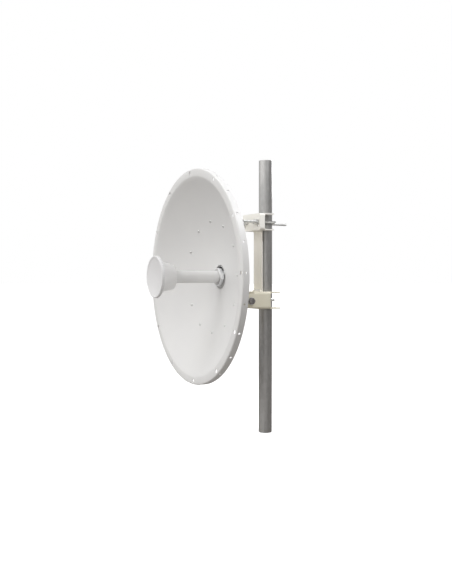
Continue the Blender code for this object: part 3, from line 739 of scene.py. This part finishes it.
def make_bowl_screws():
    """Pan-head screws in the bowl, with their washers and nuts behind the backing pan."""
    head = turn("screw_head", [
        (0.0, -0.0021), (0.0016, -0.0020), (0.0030, -0.0016), (0.0040, -0.0008), (0.0043, 0.0),
        (0.0043, 0.0006), (0.0, 0.0006)], "Y", ORIGIN, 24)
    long, narrow = 0.0021, 0.00045
    for x, z in ((long, narrow), (narrow, long)):
        combine(head, block("cross", (-x, -0.003, -z), (x, -0.0009, z)))
    smooth(head)
    washer = collar("washer", 0.0024, 0.0052, 0.0, 0.0008, "Y", ORIGIN, 28)
    nut = hex_nut("screw_nut", 0.007, SCREW_RADIUS, 0.0032, "Y")
    fastener = join(nut, bar("stud", SCREW_RADIUS, -0.001, 0.0052, "Y", ORIGIN, 16))
    slope = -2.0 * BOWL_DEPTH * SCREW_CIRCLE / BOWL_RADIUS ** 2
    tilt = Matrix.Rotation(math.atan(slope), 4, "Z")
    seat = bowl_y(SCREW_CIRCLE)
    behind = SHEET + PAN_SHEET + 2.0 * TOUCH
    under_nut = Matrix.Translation((0.0, -0.0009, 0.0))
    for index in range(SCREWS):
        number = str(index + 1)
        around = about_dish(dish_angle(index, SCREWS))
        lift = 0.0015 + (STAY_SHEET + 0.0006 if index == STAY_SCREW else 0.0)
        front = around @ Matrix.Translation((SCREW_CIRCLE, seat - TOUCH, DISH_Z)) @ tilt
        rear = around @ Matrix.Translation((SCREW_CIRCLE, seat + behind + lift, DISH_Z)) @ tilt
        dress(copied(head, "bowl_screw_" + number, front), "dish", ZINC)
        dress(copied(washer, "pan_washer_" + number, rear @ under_nut), "dish", ZINC)
        dress(copied(fastener, "pan_nut_" + number, rear), "dish", ZINC)
    discard(head, washer, fastener)


# Feed

def make_feed_head():
    """The front disc with its lip, the cup behind it, and the tube that carries both."""
    edge = DISC_RADIUS
    face = DISC_Y + DISC_LIP
    back = DISC_Y + DISC_THICKNESS
    disc = turn("feed_face", [
        (0.0, face), (edge - 0.0068, face), (edge - 0.0056, face - 0.0004),
        (edge - 0.0048, DISC_Y + 0.0003), (edge - 0.0038, DISC_Y), (edge - 0.0018, DISC_Y),
        (edge - 0.0006, DISC_Y + 0.0004), (edge, DISC_Y + 0.0014),
        (edge, back - 0.001), (edge - 0.001, back), (0.0, back)], "Y", DISH_CENTRE, 128)
    dress(disc, "dish", FEED_PLASTIC, "feed_disc")
    front = back + TOUCH
    neck = CUP_BACK_Y + 0.0012
    socket = CUP_BACK_Y - 0.012
    sleeve = TUBE_ROOM + CUP_WALL
    within = CUP_BACK_Y - CUP_WALL
    bend = arc((CUP_BACK_RADIUS - CUP_BEND, CUP_BACK_Y - CUP_BEND), CUP_BEND, 8.0, 90.0, 6)
    outline = [(CUP_FRONT_RADIUS - CUP_WALL, front), (CUP_FRONT_RADIUS, front)] + bend
    outline += [(TUBE_ROOM + 0.0035, CUP_BACK_Y), (TUBE_ROOM + 0.0030, neck), (TUBE_ROOM, neck)]
    outline += [(TUBE_ROOM, socket), (sleeve, socket), (sleeve, within)]
    outline.append((CUP_BACK_RADIUS - CUP_WALL, within))
    # The cup wears a lighter copy of the white plastic: painted light
    dress(turn("feed_body", outline, "Y", DISH_CENTRE, 112), "dish", CUP_PLASTIC_PAINTED_LIGHT, "feed_cup")
    inside = TUBE_RADIUS - TUBE_WALL
    tube = collar("boom_tube", inside, TUBE_RADIUS, TUBE_FRONT_Y, TUBE_BACK_Y, "Y", DISH_CENTRE, 72)
    # The tube wears a lighter copy of the white coat: painted light
    dress(tube, "dish", WHITE_TUBE_PAINTED_LIGHT, "feed_tube")


def make_hub():
    """The hub: a sleeve for the tube, a shoulder with a pocket, and a flange."""
    shoulder = HUB_SHOULDER_RADIUS
    step = HUB_SHOULDER_Y
    flange = HUB_FLANGE_RADIUS
    foot = HUB_FLANGE_FRONT
    hub = turn("hub", [
        (TUBE_ROOM, HUB_FRONT_Y), (HUB_RADIUS - 0.001, HUB_FRONT_Y), (HUB_RADIUS, HUB_FRONT_Y + 0.001),
        (HUB_RADIUS, step - 0.0012), (HUB_RADIUS + 0.0006, step - 0.0004), (HUB_RADIUS + 0.0018, step),
        (shoulder - 0.0015, step), (shoulder - 0.0005, step + 0.0005), (shoulder, step + 0.0015),
        (shoulder, foot - 0.002), (shoulder + 0.0006, foot - 0.0006), (shoulder + 0.002, foot),
        (flange - 0.0006, foot), (flange, foot + 0.0006), (flange, HUB_FLANGE_BACK),
        (TUBE_ROOM, HUB_FLANGE_BACK)], "Y", DISH_CENTRE, 96)
    low, high = HUB_RADIUS + 0.0015, shoulder - 0.0015
    start, end = step - 0.002, foot - 0.004
    pocket = collar("pocket", low, high, start, end, "Y", DISH_CENTRE, 72, 0.0)
    reach = shoulder + 0.005
    below = block("below", (-reach, step - 0.01, DISH_Z - reach), (reach, end + 0.01, DISH_Z + 0.018))
    combine(hub, combine(pocket, below))
    dress(smooth(hub), "dish", CAST_ALUMINIUM, "feed_hub")


def make_feed_band():
    """A slotted band with a worm screw, as on a hose clamp."""
    start = HUB_FRONT_Y + 0.0015
    end = start + BAND_WIDTH
    middle = (start + end) / 2.0
    inner = HUB_RADIUS + TOUCH
    outer = BAND_RADIUS - 0.0004
    strap = turn("clamp_band", [
        (inner, start), (outer - 0.0006, start), (outer, start + 0.0009),
        (outer, end - 0.0009), (outer - 0.0006, end), (inner, end)], "Y", DISH_CENTRE, 96)
    slot = block("slot", (outer - 0.0006, start + 0.0028, DISH_Z - 0.0006),
                 (BAND_RADIUS + 0.001, end - 0.0028, DISH_Z + 0.0006))
    cut_about_dish(strap, slot, [math.radians(28.0 + 5.5 * index) for index in range(BAND_SLOTS)])
    house = block("worm_house", (BAND_RADIUS - 0.0012, start + 0.0008, DISH_Z - 0.007),
                  (BAND_RADIUS + 0.0050, end - 0.0008, DISH_Z + 0.007))
    round_along(house, "Z", 0.0022, 5, lambda edge: edge.verts[0].co.x > BAND_RADIUS)
    screw_place = (BAND_RADIUS + 0.0014, middle, DISH_Z)
    screw = bar("worm_screw", 0.0022, -0.0105, 0.008, "Z", screw_place, 24, 0.0003)
    head = hex_prism("worm_head", 0.0062, 0.0072, 0.0106, "Z", screw_place)
    combine(head, block("blade_slot", (BAND_RADIUS - 0.004, middle - 0.0004, DISH_Z + 0.0096),
                        (BAND_RADIUS + 0.007, middle + 0.0004, DISH_Z + 0.0115)))
    strap = join(strap, ease_edges(house, 0.0003), screw, head)
    dress(smooth(strap), "dish", ALUMINIUM, "feed_band")


def make_hub_screws():
    """Four hexagon screws that hold the hub's flange to the pan."""
    screw = hex_prism("flange_screw", 0.0055, HUB_FLANGE_FRONT - 0.0028, HUB_FLANGE_FRONT, "Y", ORIGIN)
    smooth(screw, HEX_ANGLE)
    place = Matrix.Translation((HUB_SCREW_CIRCLE, 0.0, DISH_Z))
    for index, angle in enumerate(DIAGONALS):
        dress(copied(screw, "hub_screw_" + str(index + 1), about_dish(angle) @ place), "dish", ZINC)
    discard(screw)


def make_back_cap():
    """The cap in the pan's opening, and the two threaded sockets on it."""
    start = HUB_FLANGE_BACK + TOUCH
    end = PAN_FLAT_Y + PAN_SHEET + CAP_PROUD
    radius = PAN_OPENING - TOUCH
    cap = turn("back_cap", [
        (0.0, start), (radius, start), (radius, end - 0.0015), (radius - 0.0004, end - 0.0005),
        (radius - 0.0015, end), (radius - 0.004, end), (radius - 0.0045, end - 0.0008),
        (0.0, end - 0.0008)], "Y", DISH_CENTRE, 72)
    dress(cap, "dish", GREY_PLASTIC, "feed_back_cap")
    base = end + TOUCH
    outline = [(0.0, base), (0.0078, base), (0.0078, base + 0.0036), (0.0072, base + 0.0042)]
    outline += thread_points(0.0066, base + 0.0048, base + 0.0170, 0.0010)
    inside = (
        (0.0054, 0.018), (0.0045, 0.018), (0.0045, 0.009), (0.0026, 0.009), (0.0026, 0.0155),
        (0.0021, 0.016), (0.0012, 0.016), (0.0012, 0.010), (0.0, 0.010))
    outline += [(reach, base + depth) for reach, depth in inside]
    for side, sign in SIDES.items():
        socket = turn("socket_" + side, outline, "Y", (sign * SOCKET_X, 0.0, DISH_Z), 36)
        dress(socket, "dish", BRASS, "feed_connector_" + side)


# Tilt frame

def make_tilt_channel():
    """The upright channel behind the pan, with ears for the hinge and the cross pin."""
    ear_top = HINGE.z + HINGE_EAR
    outline = [(CHANNEL_FRONT_Y, CHANNEL_BOTTOM)]
    outline += arc(HINGE.yz, HINGE_EAR, -85.0, 85.0, 24)
    outline += [(CHANNEL_BACK_Y - 0.0022, ear_top + 0.0070), (CHANNEL_BACK_Y, ear_top + 0.014)]
    outline.append((CHANNEL_BACK_Y, PIN.z - 0.030))
    outline += arc(PIN.yz, PIN_EAR, -20.0, 75.0, 14)
    outline.append((CHANNEL_FRONT_Y, CHANNEL_TOP))
    channel = plate("channel", outline, -CHANNEL_HALF, CHANNEL_HALF)
    round_along(channel, "Z", 0.005, 5, lambda edge: edge.verts[0].co.y < CHANNEL_FRONT_Y + 0.001)
    inner = CHANNEL_HALF - CHANNEL_SHEET
    web_back = CHANNEL_FRONT_Y + CHANNEL_SHEET
    hollow = block("hollow", (-inner, web_back, 0.35), (inner, 0.0, 0.75))
    round_along(hollow, "Z", 0.002, 3, lambda edge: edge.verts[0].co.y < web_back + 0.002)
    combine(channel, hollow)
    drill(channel, HINGE_THREAD + TOUCH, -0.05, 0.05, "X", HINGE)
    drill(channel, PIN_RADIUS + TOUCH, -0.05, 0.05, "X", PIN)
    drill(channel, PAN_OPENING, CHANNEL_FRONT_Y - 0.02, CHANNEL_FRONT_Y + 0.02, "Y", DISH_CENTRE, 48)
    dress(ease_edges(channel), "dish", CREAM, "tilt_channel")
    head = hex_prism("web_bolt", 0.010, 0.0012, 0.0052, "Y", ORIGIN)
    washer = collar("web_washer", 0.002, 0.0065, 0.0, 0.0012, "Y", ORIGIN)
    bolt = smooth(join(head, washer), HEX_ANGLE)
    places = ((-0.012, 0.058), (0.012, 0.058), (-0.012, -0.044), (0.012, -0.044))
    for index, (x, z) in enumerate(places):
        place = Matrix.Translation((x, web_back + 0.0001, DISH_Z + z))
        dress(copied(bolt, "web_bolt_" + str(index + 1), place), "dish", ZINC)
    discard(bolt)


def make_upper_stay():
    """The bent strip from the pan's upper flange to the top of the channel's web."""
    web_y = PAN_FLAT_Y + PAN_SHEET
    behind = SHEET + PAN_SHEET + 2.5 * TOUCH
    low_y = bowl_y(STAY_LOW_RADIUS) + behind
    high_y = bowl_y(STAY_HIGH_RADIUS) + behind
    slope = (high_y - low_y) / (STAY_HIGH_RADIUS - STAY_LOW_RADIUS)
    low_z = DISH_Z + STAY_LOW_RADIUS
    high_z = DISH_Z + STAY_HIGH_RADIUS
    top_z = CHANNEL_TOP - STAY_SHEET
    outline = [
        (low_y, low_z), (high_y, high_z), (high_y + STAY_SHEET, high_z - slope * STAY_SHEET),
        (low_y + STAY_SHEET + 0.003, low_z + 0.0055), (low_y + STAY_SHEET + 0.007, low_z + 0.004),
        (web_y - STAY_SHEET - 0.002, low_z + 0.004), (web_y - STAY_SHEET, low_z + 0.006),
        (web_y - STAY_SHEET, top_z), (web_y, top_z), (web_y, low_z + 0.003), (web_y - 0.003, low_z)]
    stay = plate("stay", outline, -STAY_HALF, STAY_HALF)
    dress(ease_edges(stay, 0.0006), "dish", CREAM, "upper_stay")


def make_cross_pin():
    """The headed pin across the channel's top that the rods' eyes turn on."""
    head = 0.0075
    start = ROD_X + 0.0045
    end = start + 0.0025
    outline = [(0.0, -end), (0.0060, -end), (head, -end + 0.0012), (head, -start), (PIN_RADIUS, -start)]
    outline += [(PIN_RADIUS, start), (head, start), (head, end - 0.0012), (0.0060, end), (0.0, end)]
    dress(turn("pin", outline, "X", PIN, 40), "dish", ZINC, "cross_pin")


# Mount

def mast_space(low, high):
    """The room that the mast takes, open to the back."""
    tool = bar("mast_space", MAST_NOTCH, low, high, "Z", ORIGIN, 64, 0.0)
    return combine(tool, block("mouth", (-MAST_NOTCH, 0.0, low), (MAST_NOTCH, 0.1, high)), "UNION")


def drill_u_bolt_holes(bracket, name):
    for sign in SIDES.values():
        place = (sign * U_BOLT_BEND, WEB_Y[name], U_BOLT_Z[name])
        drill(bracket, THREAD_RADIUS + TOUCH, -0.01, 0.01, "Y", place, 28)


def folded_bracket(name, front, cheek_back, plate_back, low, high):
    """A folded body, whose plates run on behind the cheeks with plain cut sides."""
    bracket = folded_block(name, BRACKET_HALF, front, cheek_back + 0.001, low, high, BRACKET_BEND)
    tongues = block("tongues", (-BRACKET_HALF, cheek_back, low), (BRACKET_HALF, plate_back, high))
    round_along(tongues, "Z", 0.006, 6, lambda edge: edge.verts[0].co.y > cheek_back + 0.001)
    return combine(bracket, tongues, "UNION")


def cut_behind_cheeks(bracket, cheek_back, low, high):
    """Open the sides between the two plates, with rounded corners at the cheeks."""
    gap = block("side_gap", (-0.1, cheek_back, low), (0.1, 0.1, high))
    combine(bracket, round_along(gap, "X", 0.004, 5, lambda edge: edge.verts[0].co.y < 0.0))


def make_lower_bracket():
    """The lower clamp: hinge ears in front, and two plates that reach past the mast."""
    inner = BRACKET_INNER
    low = LOWER_BOTTOM + BRACKET_SHEET
    high = LOWER_TOP - BRACKET_SHEET
    ahead, aside, below, above = -0.12, 0.1, 0.37, 0.47
    bracket = folded_bracket(
        "clamp_lower", LOWER_PLATE_FRONT, LOWER_CHEEK_BACK, LOWER_PLATE_BACK, LOWER_BOTTOM, LOWER_TOP)
    combine(bracket, block("step", (-aside, ahead, below), (aside, LOWER_SHELF_FRONT, low)))
    ear = bar("ear", CHEEK_EAR, -BRACKET_HALF, BRACKET_HALF, "X", (0.0, HINGE.y, CHEEK_EAR_Z), 72, 0.0)
    neck = block("neck", (-BRACKET_HALF, HINGE.y, CHEEK_EAR_Z - CHEEK_EAR),
                 (BRACKET_HALF, LOWER_PLATE_FRONT + 0.002, CHEEK_EAR_Z + CHEEK_EAR))
    combine(bracket, combine(ear, neck, "UNION"), "UNION")
    bend = BRACKET_BEND - BRACKET_SHEET
    combine(bracket, folded_block("room", inner, ahead, LOWER_WEB_Y, low, high, bend))
    combine(bracket, folded_block("room", inner, LOWER_WEB_Y + BRACKET_SHEET, 0.1, low, high, bend))
    combine(bracket, block("front", (-inner, ahead, below), (inner, LOWER_PLATE_FRONT + 0.001, above)))
    combine(bracket, block("front_low", (-inner, ahead, below), (inner, LOWER_SHELF_FRONT, 0.41)))
    cut_behind_cheeks(bracket, LOWER_CHEEK_BACK, low, high)
    combine(bracket, mast_space(below, above))
    drill(bracket, HINGE_THREAD + TOUCH, -aside, aside, "X", HINGE)
    drill_u_bolt_holes(bracket, "lower")
    # The lower bracket wears the darker cream copy: painted shade, with a yellower tint
    dress(ease_edges(bracket), "mount", CREAM_PAINTED_SHADE, "lower_bracket")


def make_upper_bracket():
    """The upper clamp: a web with a slot for each rod, and two plates that reach to the mast."""
    low = UPPER_BOTTOM + BRACKET_SHEET
    high = UPPER_TOP - BRACKET_SHEET
    bend = BRACKET_BEND - BRACKET_SHEET
    bracket = folded_bracket(
        "clamp_upper", UPPER_WEB_Y, UPPER_CHEEK_BACK, UPPER_PLATE_BACK, UPPER_BOTTOM, UPPER_TOP)
    start = UPPER_WEB_Y + BRACKET_SHEET
    combine(bracket, folded_block("room", BRACKET_INNER, start, 0.1, low, high, bend))
    cut_behind_cheeks(bracket, UPPER_CHEEK_BACK, low, high)
    combine(bracket, mast_space(0.60, 0.72))
    drill_u_bolt_holes(bracket, "upper")
    for sign in SIDES.values():
        slot = block("rod_slot", (sign * ROD_X - ROD_SLOT_HALF, UPPER_WEB_Y - 0.01, ROD_SLOT_BOTTOM),
                     (sign * ROD_X + ROD_SLOT_HALF, UPPER_WEB_Y + 0.01, ROD_SLOT_TOP))
        combine(bracket, round_along(slot, "Y", 0.0043, 6))
    # The upper bracket wears the lighter cream copy: painted light
    dress(ease_edges(bracket), "mount", CREAM_PAINTED_LIGHT, "upper_bracket")


def weld_bead(name, level, size):
    """A rippled bead of weld across the spine."""
    end = SPINE_HALF - 0.001
    reach = SPINE_HALF - 0.0016
    outline = [(0.0, -end)]
    for step in range(WELD_RIPPLES + 1):
        outline.append((size + 0.0004 * (step % 2), -reach + 2.0 * reach * step / WELD_RIPPLES))
    outline.append((0.0, end))
    return smooth(turn(name, outline, "X", (0.0, SPINE_FRONT_Y - 0.0002, level), 20), 60.0)


def make_spine():
    """The flat upright between the two brackets, welded to both."""
    low = LOWER_TOP + TOUCH
    high = UPPER_BOTTOM - TOUCH
    back = SPINE_FRONT_Y + SPINE_THICKNESS
    spine = block("spine", (-SPINE_HALF, SPINE_FRONT_Y, low), (SPINE_HALF, back, high))
    round_along(spine, "Z", 0.0014, 3)
    dress(smooth(spine), "mount", CREAM, "mount_spine")
    for name, level, size in (("lower", low + 0.0002, 0.0052), ("upper", high - 0.0002, 0.0034)):
        dress(weld_bead("weld_" + name, level, size), "mount", CREAM)


# Fasteners

def bent_bar(name, shank, level):
    """The plain part of a U-bolt, bent round the mast."""
    path = [(-U_BOLT_BEND, shank)] + arc(ORIGIN, U_BOLT_BEND, 180.0, 0.0, 28) + [(U_BOLT_BEND, shank)]
    wire = bpy.data.curves.new("clamp_bar", "CURVE")
    wire.dimensions = "3D"
    wire.bevel_depth = THREAD_RADIUS
    wire.bevel_resolution = 5
    wire.use_fill_caps = True
    line = wire.splines.new("POLY")
    line.points.add(len(path) - 1)
    for point, (x, y) in zip(line.points, path):
        point.co = (x, y, level, 1.0)
    activate(in_scene(name, wire))
    bpy.ops.object.convert(target="MESH")
    return weld_points(bpy.context.object)


def make_u_bolts():
    """The two U-bolts with their threaded legs and nuts, and the four nuts on the rods."""
    nut = hex_nut("nut", NUT_FLATS, THREAD_RADIUS, NUT_HEIGHT, "Y")
    for name, web_y in WEB_Y.items():
        level = U_BOLT_Z[name]
        tip = web_y - 0.0105
        shank = web_y + 0.014
        thread_end = shank + 0.0006
        outline = [(0.0, tip), (0.0028, tip)] + thread_points(THREAD_RADIUS, tip + 0.0006, thread_end)
        outline.append((0.0, thread_end))
        bent = bent_bar("clamp_bar_" + name, shank, level)
        legs = [turn("leg", outline, "Y", (sign * U_BOLT_BEND, 0.0, level), 24) for sign in SIDES.values()]
        dress(smooth(join(bent, *legs), 40.0), "mount", ZINC, name + "_u_bolt")
        for side, sign in SIDES.items():
            place = Matrix.Translation((sign * U_BOLT_BEND, web_y - TOUCH - NUT_HEIGHT, level))
            piece = copied(nut, name + "_clamp_nut_" + side, place)
            dress(piece, "mount", ZINC, name + "_u_bolt_nut_" + side)
    starts = {"front": UPPER_WEB_Y - 0.001 - NUT_HEIGHT, "rear": UPPER_WEB_Y + BRACKET_SHEET + TOUCH}
    for side, sign in SIDES.items():
        for name, start in starts.items():
            place = Matrix.Translation((sign * ROD_X, start, PIN.z))
            piece = copied(nut, "rod_nut_" + name + "_" + side, place)
            dress(piece, "elevation_nuts", ZINC, "elevation_nut_" + name + "_" + side)
    discard(nut)


def make_rods():
    """Two threaded rods, each with an eye that turns on the cross pin."""
    bore = PIN_RADIUS + TOUCH
    half = 0.004
    eye_outline = [
        (bore, -half + 0.0008), (0.0061, -half), (0.0080, -half), (0.009, -0.0028),
        (0.009, 0.0028), (0.0080, half), (0.0061, half), (bore, half - 0.0008)]
    for side, sign in SIDES.items():
        centre = Vector((sign * ROD_X, PIN.y, PIN.z))
        eye = turn("eye_rod_" + side, eye_outline, "X", centre, 40)
        start = PIN.y + 0.0065
        end = ROD_END_Y[side]
        outline = [(0.0, start), (0.0036, start), (0.0036, PIN.y + 0.013)]
        outline += thread_points(THREAD_RADIUS - 0.0002, PIN.y + 0.0135, end - 0.0006)
        outline += [(0.0026, end), (0.0, end)]
        shank = turn("shank", outline, "Y", (centre.x, 0.0, centre.z), 24)
        dress(smooth(join(eye, shank), 40.0), "elevation_rods", ZINC, "elevation_rod_" + side)


def make_hinge():
    """The hinge bolt with its nut, washers outside the cheeks and spacers inside."""
    face = BRACKET_HALF + TOUCH
    washer_height = 0.0016
    bore = HINGE_THREAD + TOUCH
    head_start = face + washer_height + TOUCH
    head = hex_prism("bolt_head", 0.018, head_start, head_start + 0.0075, "X", HINGE)
    nut_start = -(head_start + HINGE_NUT_HEIGHT)
    tip = nut_start - 0.004
    outline = [(0.0, tip), (0.0048, tip)] + thread_points(HINGE_THREAD, tip + 0.0006, -0.030, 0.00175)
    outline += [(HINGE_THREAD, -0.029), (HINGE_THREAD, head_start + 0.002), (0.0, head_start + 0.002)]
    shank = turn("shank", outline, "X", HINGE, 32)
    dress(smooth(join(head, shank), 30.0), "mount", DARK_ZINC, "hinge_bolt")
    source = hex_nut("hinge_lock_nut", 0.019, HINGE_THREAD, HINGE_NUT_HEIGHT, "X")
    nut = copied(source, "lock_nut", Matrix.Translation((nut_start, HINGE.y, HINGE.z)))
    discard(source)
    dress(smooth(nut, HEX_ANGLE), "mount", ZINC, "hinge_nut")
    for side, sign in SIDES.items():
        ends = sorted((sign * face, sign * (face + washer_height)))
        washer = collar("bolt_washer_" + side, bore, 0.0118, ends[0], ends[1], "X", HINGE, 56)
        dress(washer, "mount", ZINC, "hinge_washer_" + side)
        ends = sorted((sign * (CHANNEL_HALF + TOUCH), sign * (BRACKET_INNER - TOUCH)))
        spacer = collar("bolt_spacer_" + side, bore, 0.009, ends[0], ends[1], "X", HINGE, 48)
        dress(spacer, "mount", ZINC, "hinge_spacer_" + side)


# Mast

def make_mast():
    """The galvanised tube, with a recessed plug in each end."""
    inner = MAST_RADIUS - MAST_WALL
    tube = collar("mast", inner, MAST_RADIUS, 0.0, MAST_HEIGHT, "Z", ORIGIN, 96, 0.0006)
    dress(tube, "mast", GALVANISED, "mast_tube")
    radius = inner - TOUCH
    ends = (("foot", 0.0, PLUG_DEPTH, -1.0), ("top", MAST_HEIGHT, MAST_HEIGHT - PLUG_DEPTH, 1.0))
    for name, outer, within, up in ends:
        sunk = outer - up * 0.001
        outline = [(0.0, within), (radius, within), (radius, outer - up * 0.0012)]
        outline += [(radius - 0.0012, outer), (radius - 0.004, outer), (radius - 0.005, sunk)]
        outline.append((0.0, sunk))
        plug = turn("plug_" + name, outline, "Z", ORIGIN, 64)
        dress(plug, "mast", GREY_PLASTIC, "mast_" + name + "_plug")


# Studio

def soft_light(name, place, aim, width, power, spread=180.0):
    """A square lamp that the camera doesn't see."""
    lamp = bpy.data.lights.new(name, "AREA")
    lamp.size = width
    lamp.energy = power
    lamp.spread = math.radians(spread)
    lamp.color = LAMP_TINT
    item = in_scene(name, lamp)
    item.location = place
    item.rotation_euler = (Vector(aim) - Vector(place)).to_track_quat("-Z", "Y").to_euler()
    item.visible_camera = False


def studio_world():
    """A soft sky, brightest in front of the dish, that the camera sees as plain white."""
    world = bpy.data.worlds.new("studio")
    bpy.context.scene.world = world
    world.use_nodes = True
    tree = world.node_tree
    direction = tree.nodes.new("ShaderNodeTexCoord")
    parts = tree.nodes.new("ShaderNodeSeparateXYZ")
    tree.links.new(direction.outputs["Generated"], parts.inputs[0])
    ahead = -1.0 * Value(tree, parts.outputs["Y"])
    lit = tree.nodes["Background"]
    strength = SKY_EVEN + SKY_FRONT * ahead.above_zero()
    set_inputs(tree, lit, {"Color": rgba(*SKY_TINT), "Strength": strength})
    seen = tree.nodes.new("ShaderNodeBackground")
    set_inputs(tree, seen, {"Color": rgba(1.0, 1.0, 1.0)})
    share_by_ray(tree, lit, seen, tree.nodes["World Output"])


def share_by_ray(tree, lit, seen, output):
    """Use one shader for the light and another for what the camera sees."""
    mix = tree.nodes.new("ShaderNodeMixShader")
    path = tree.nodes.new("ShaderNodeLightPath")
    tree.links.new(path.outputs["Is Camera Ray"], mix.inputs[0])
    tree.links.new(lit.outputs[0], mix.inputs[1])
    tree.links.new(seen.outputs[0], mix.inputs[2])
    tree.links.new(mix.outputs[0], output.inputs[0])


def studio_floor():
    """A wide pale floor that glows white to the camera and throws a warm grey light upwards."""
    bpy.ops.object.select_all(action="DESELECT")
    bpy.ops.mesh.primitive_circle_add(
        vertices=96, radius=FLOOR_RADIUS, fill_type="NGON", location=(0.0, 0.0, -0.0005))
    floor = bpy.context.object
    floor.name = "studio_floor"
    settle(floor)
    paint = bpy.data.materials.new("studio_floor")
    paint.use_nodes = True
    tree = paint.node_tree
    seen = tree.nodes["Principled BSDF"]
    set_inputs(tree, seen, {
        "Base Color": rgba(0.90, 0.90, 0.90), "Roughness": 0.9,
        "Emission Color": rgba(1.0, 1.0, 1.0), "Emission Strength": FLOOR_GLOW})
    lit = tree.nodes.new("ShaderNodeBsdfDiffuse")
    set_inputs(tree, lit, {"Color": rgba(*FLOOR_BOUNCE)})
    share_by_ray(tree, lit, seen, tree.nodes["Material Output"])
    floor.data.materials.append(paint)


def make_studio():
    studio_world()
    studio_floor()
    soft_light("high_front", (-0.3, -2.0, 2.8), (0.0, -0.1, 0.5), 1.4, 15.5)
    soft_light("back_left", (-0.9, 1.1, 1.3), (0.0, -0.15, 0.55), 0.8, 6.4, 100.0)
    soft_light("right_close", (0.75, 0.15, 1.45), (0.05, -0.03, 0.66), 0.35, 6.6)


def make_camera():
    """The camera at the photograph's viewing angle."""
    lens = bpy.data.cameras.new("camera")
    lens.lens = LENS
    lens.sensor_width = 36.0
    lens.clip_end = 90.0
    lens.shift_y = LENS_SHIFT
    camera = in_scene("camera", lens)
    camera.location = CAMERA_PLACE
    level = math.cos(CAMERA_PITCH)
    ahead = (-math.sin(CAMERA_AZIMUTH) * level, math.cos(CAMERA_AZIMUTH) * level, math.sin(CAMERA_PITCH))
    camera.rotation_euler = Vector(ahead).to_track_quat("-Z", "Y").to_euler()
    bpy.context.scene.camera = camera


make_camera()
make_studio()
make_mast()
make_lower_bracket()
make_upper_bracket()
make_spine()
make_u_bolts()
make_hinge()
make_rods()
make_tilt_channel()
make_upper_stay()
make_cross_pin()
make_backing_pan()
make_reflector()
make_bowl_screws()
make_feed_head()
make_hub()
make_feed_band()
make_hub_screws()
make_back_cap()
bpy.context.scene.view_settings.view_transform = "Standard"
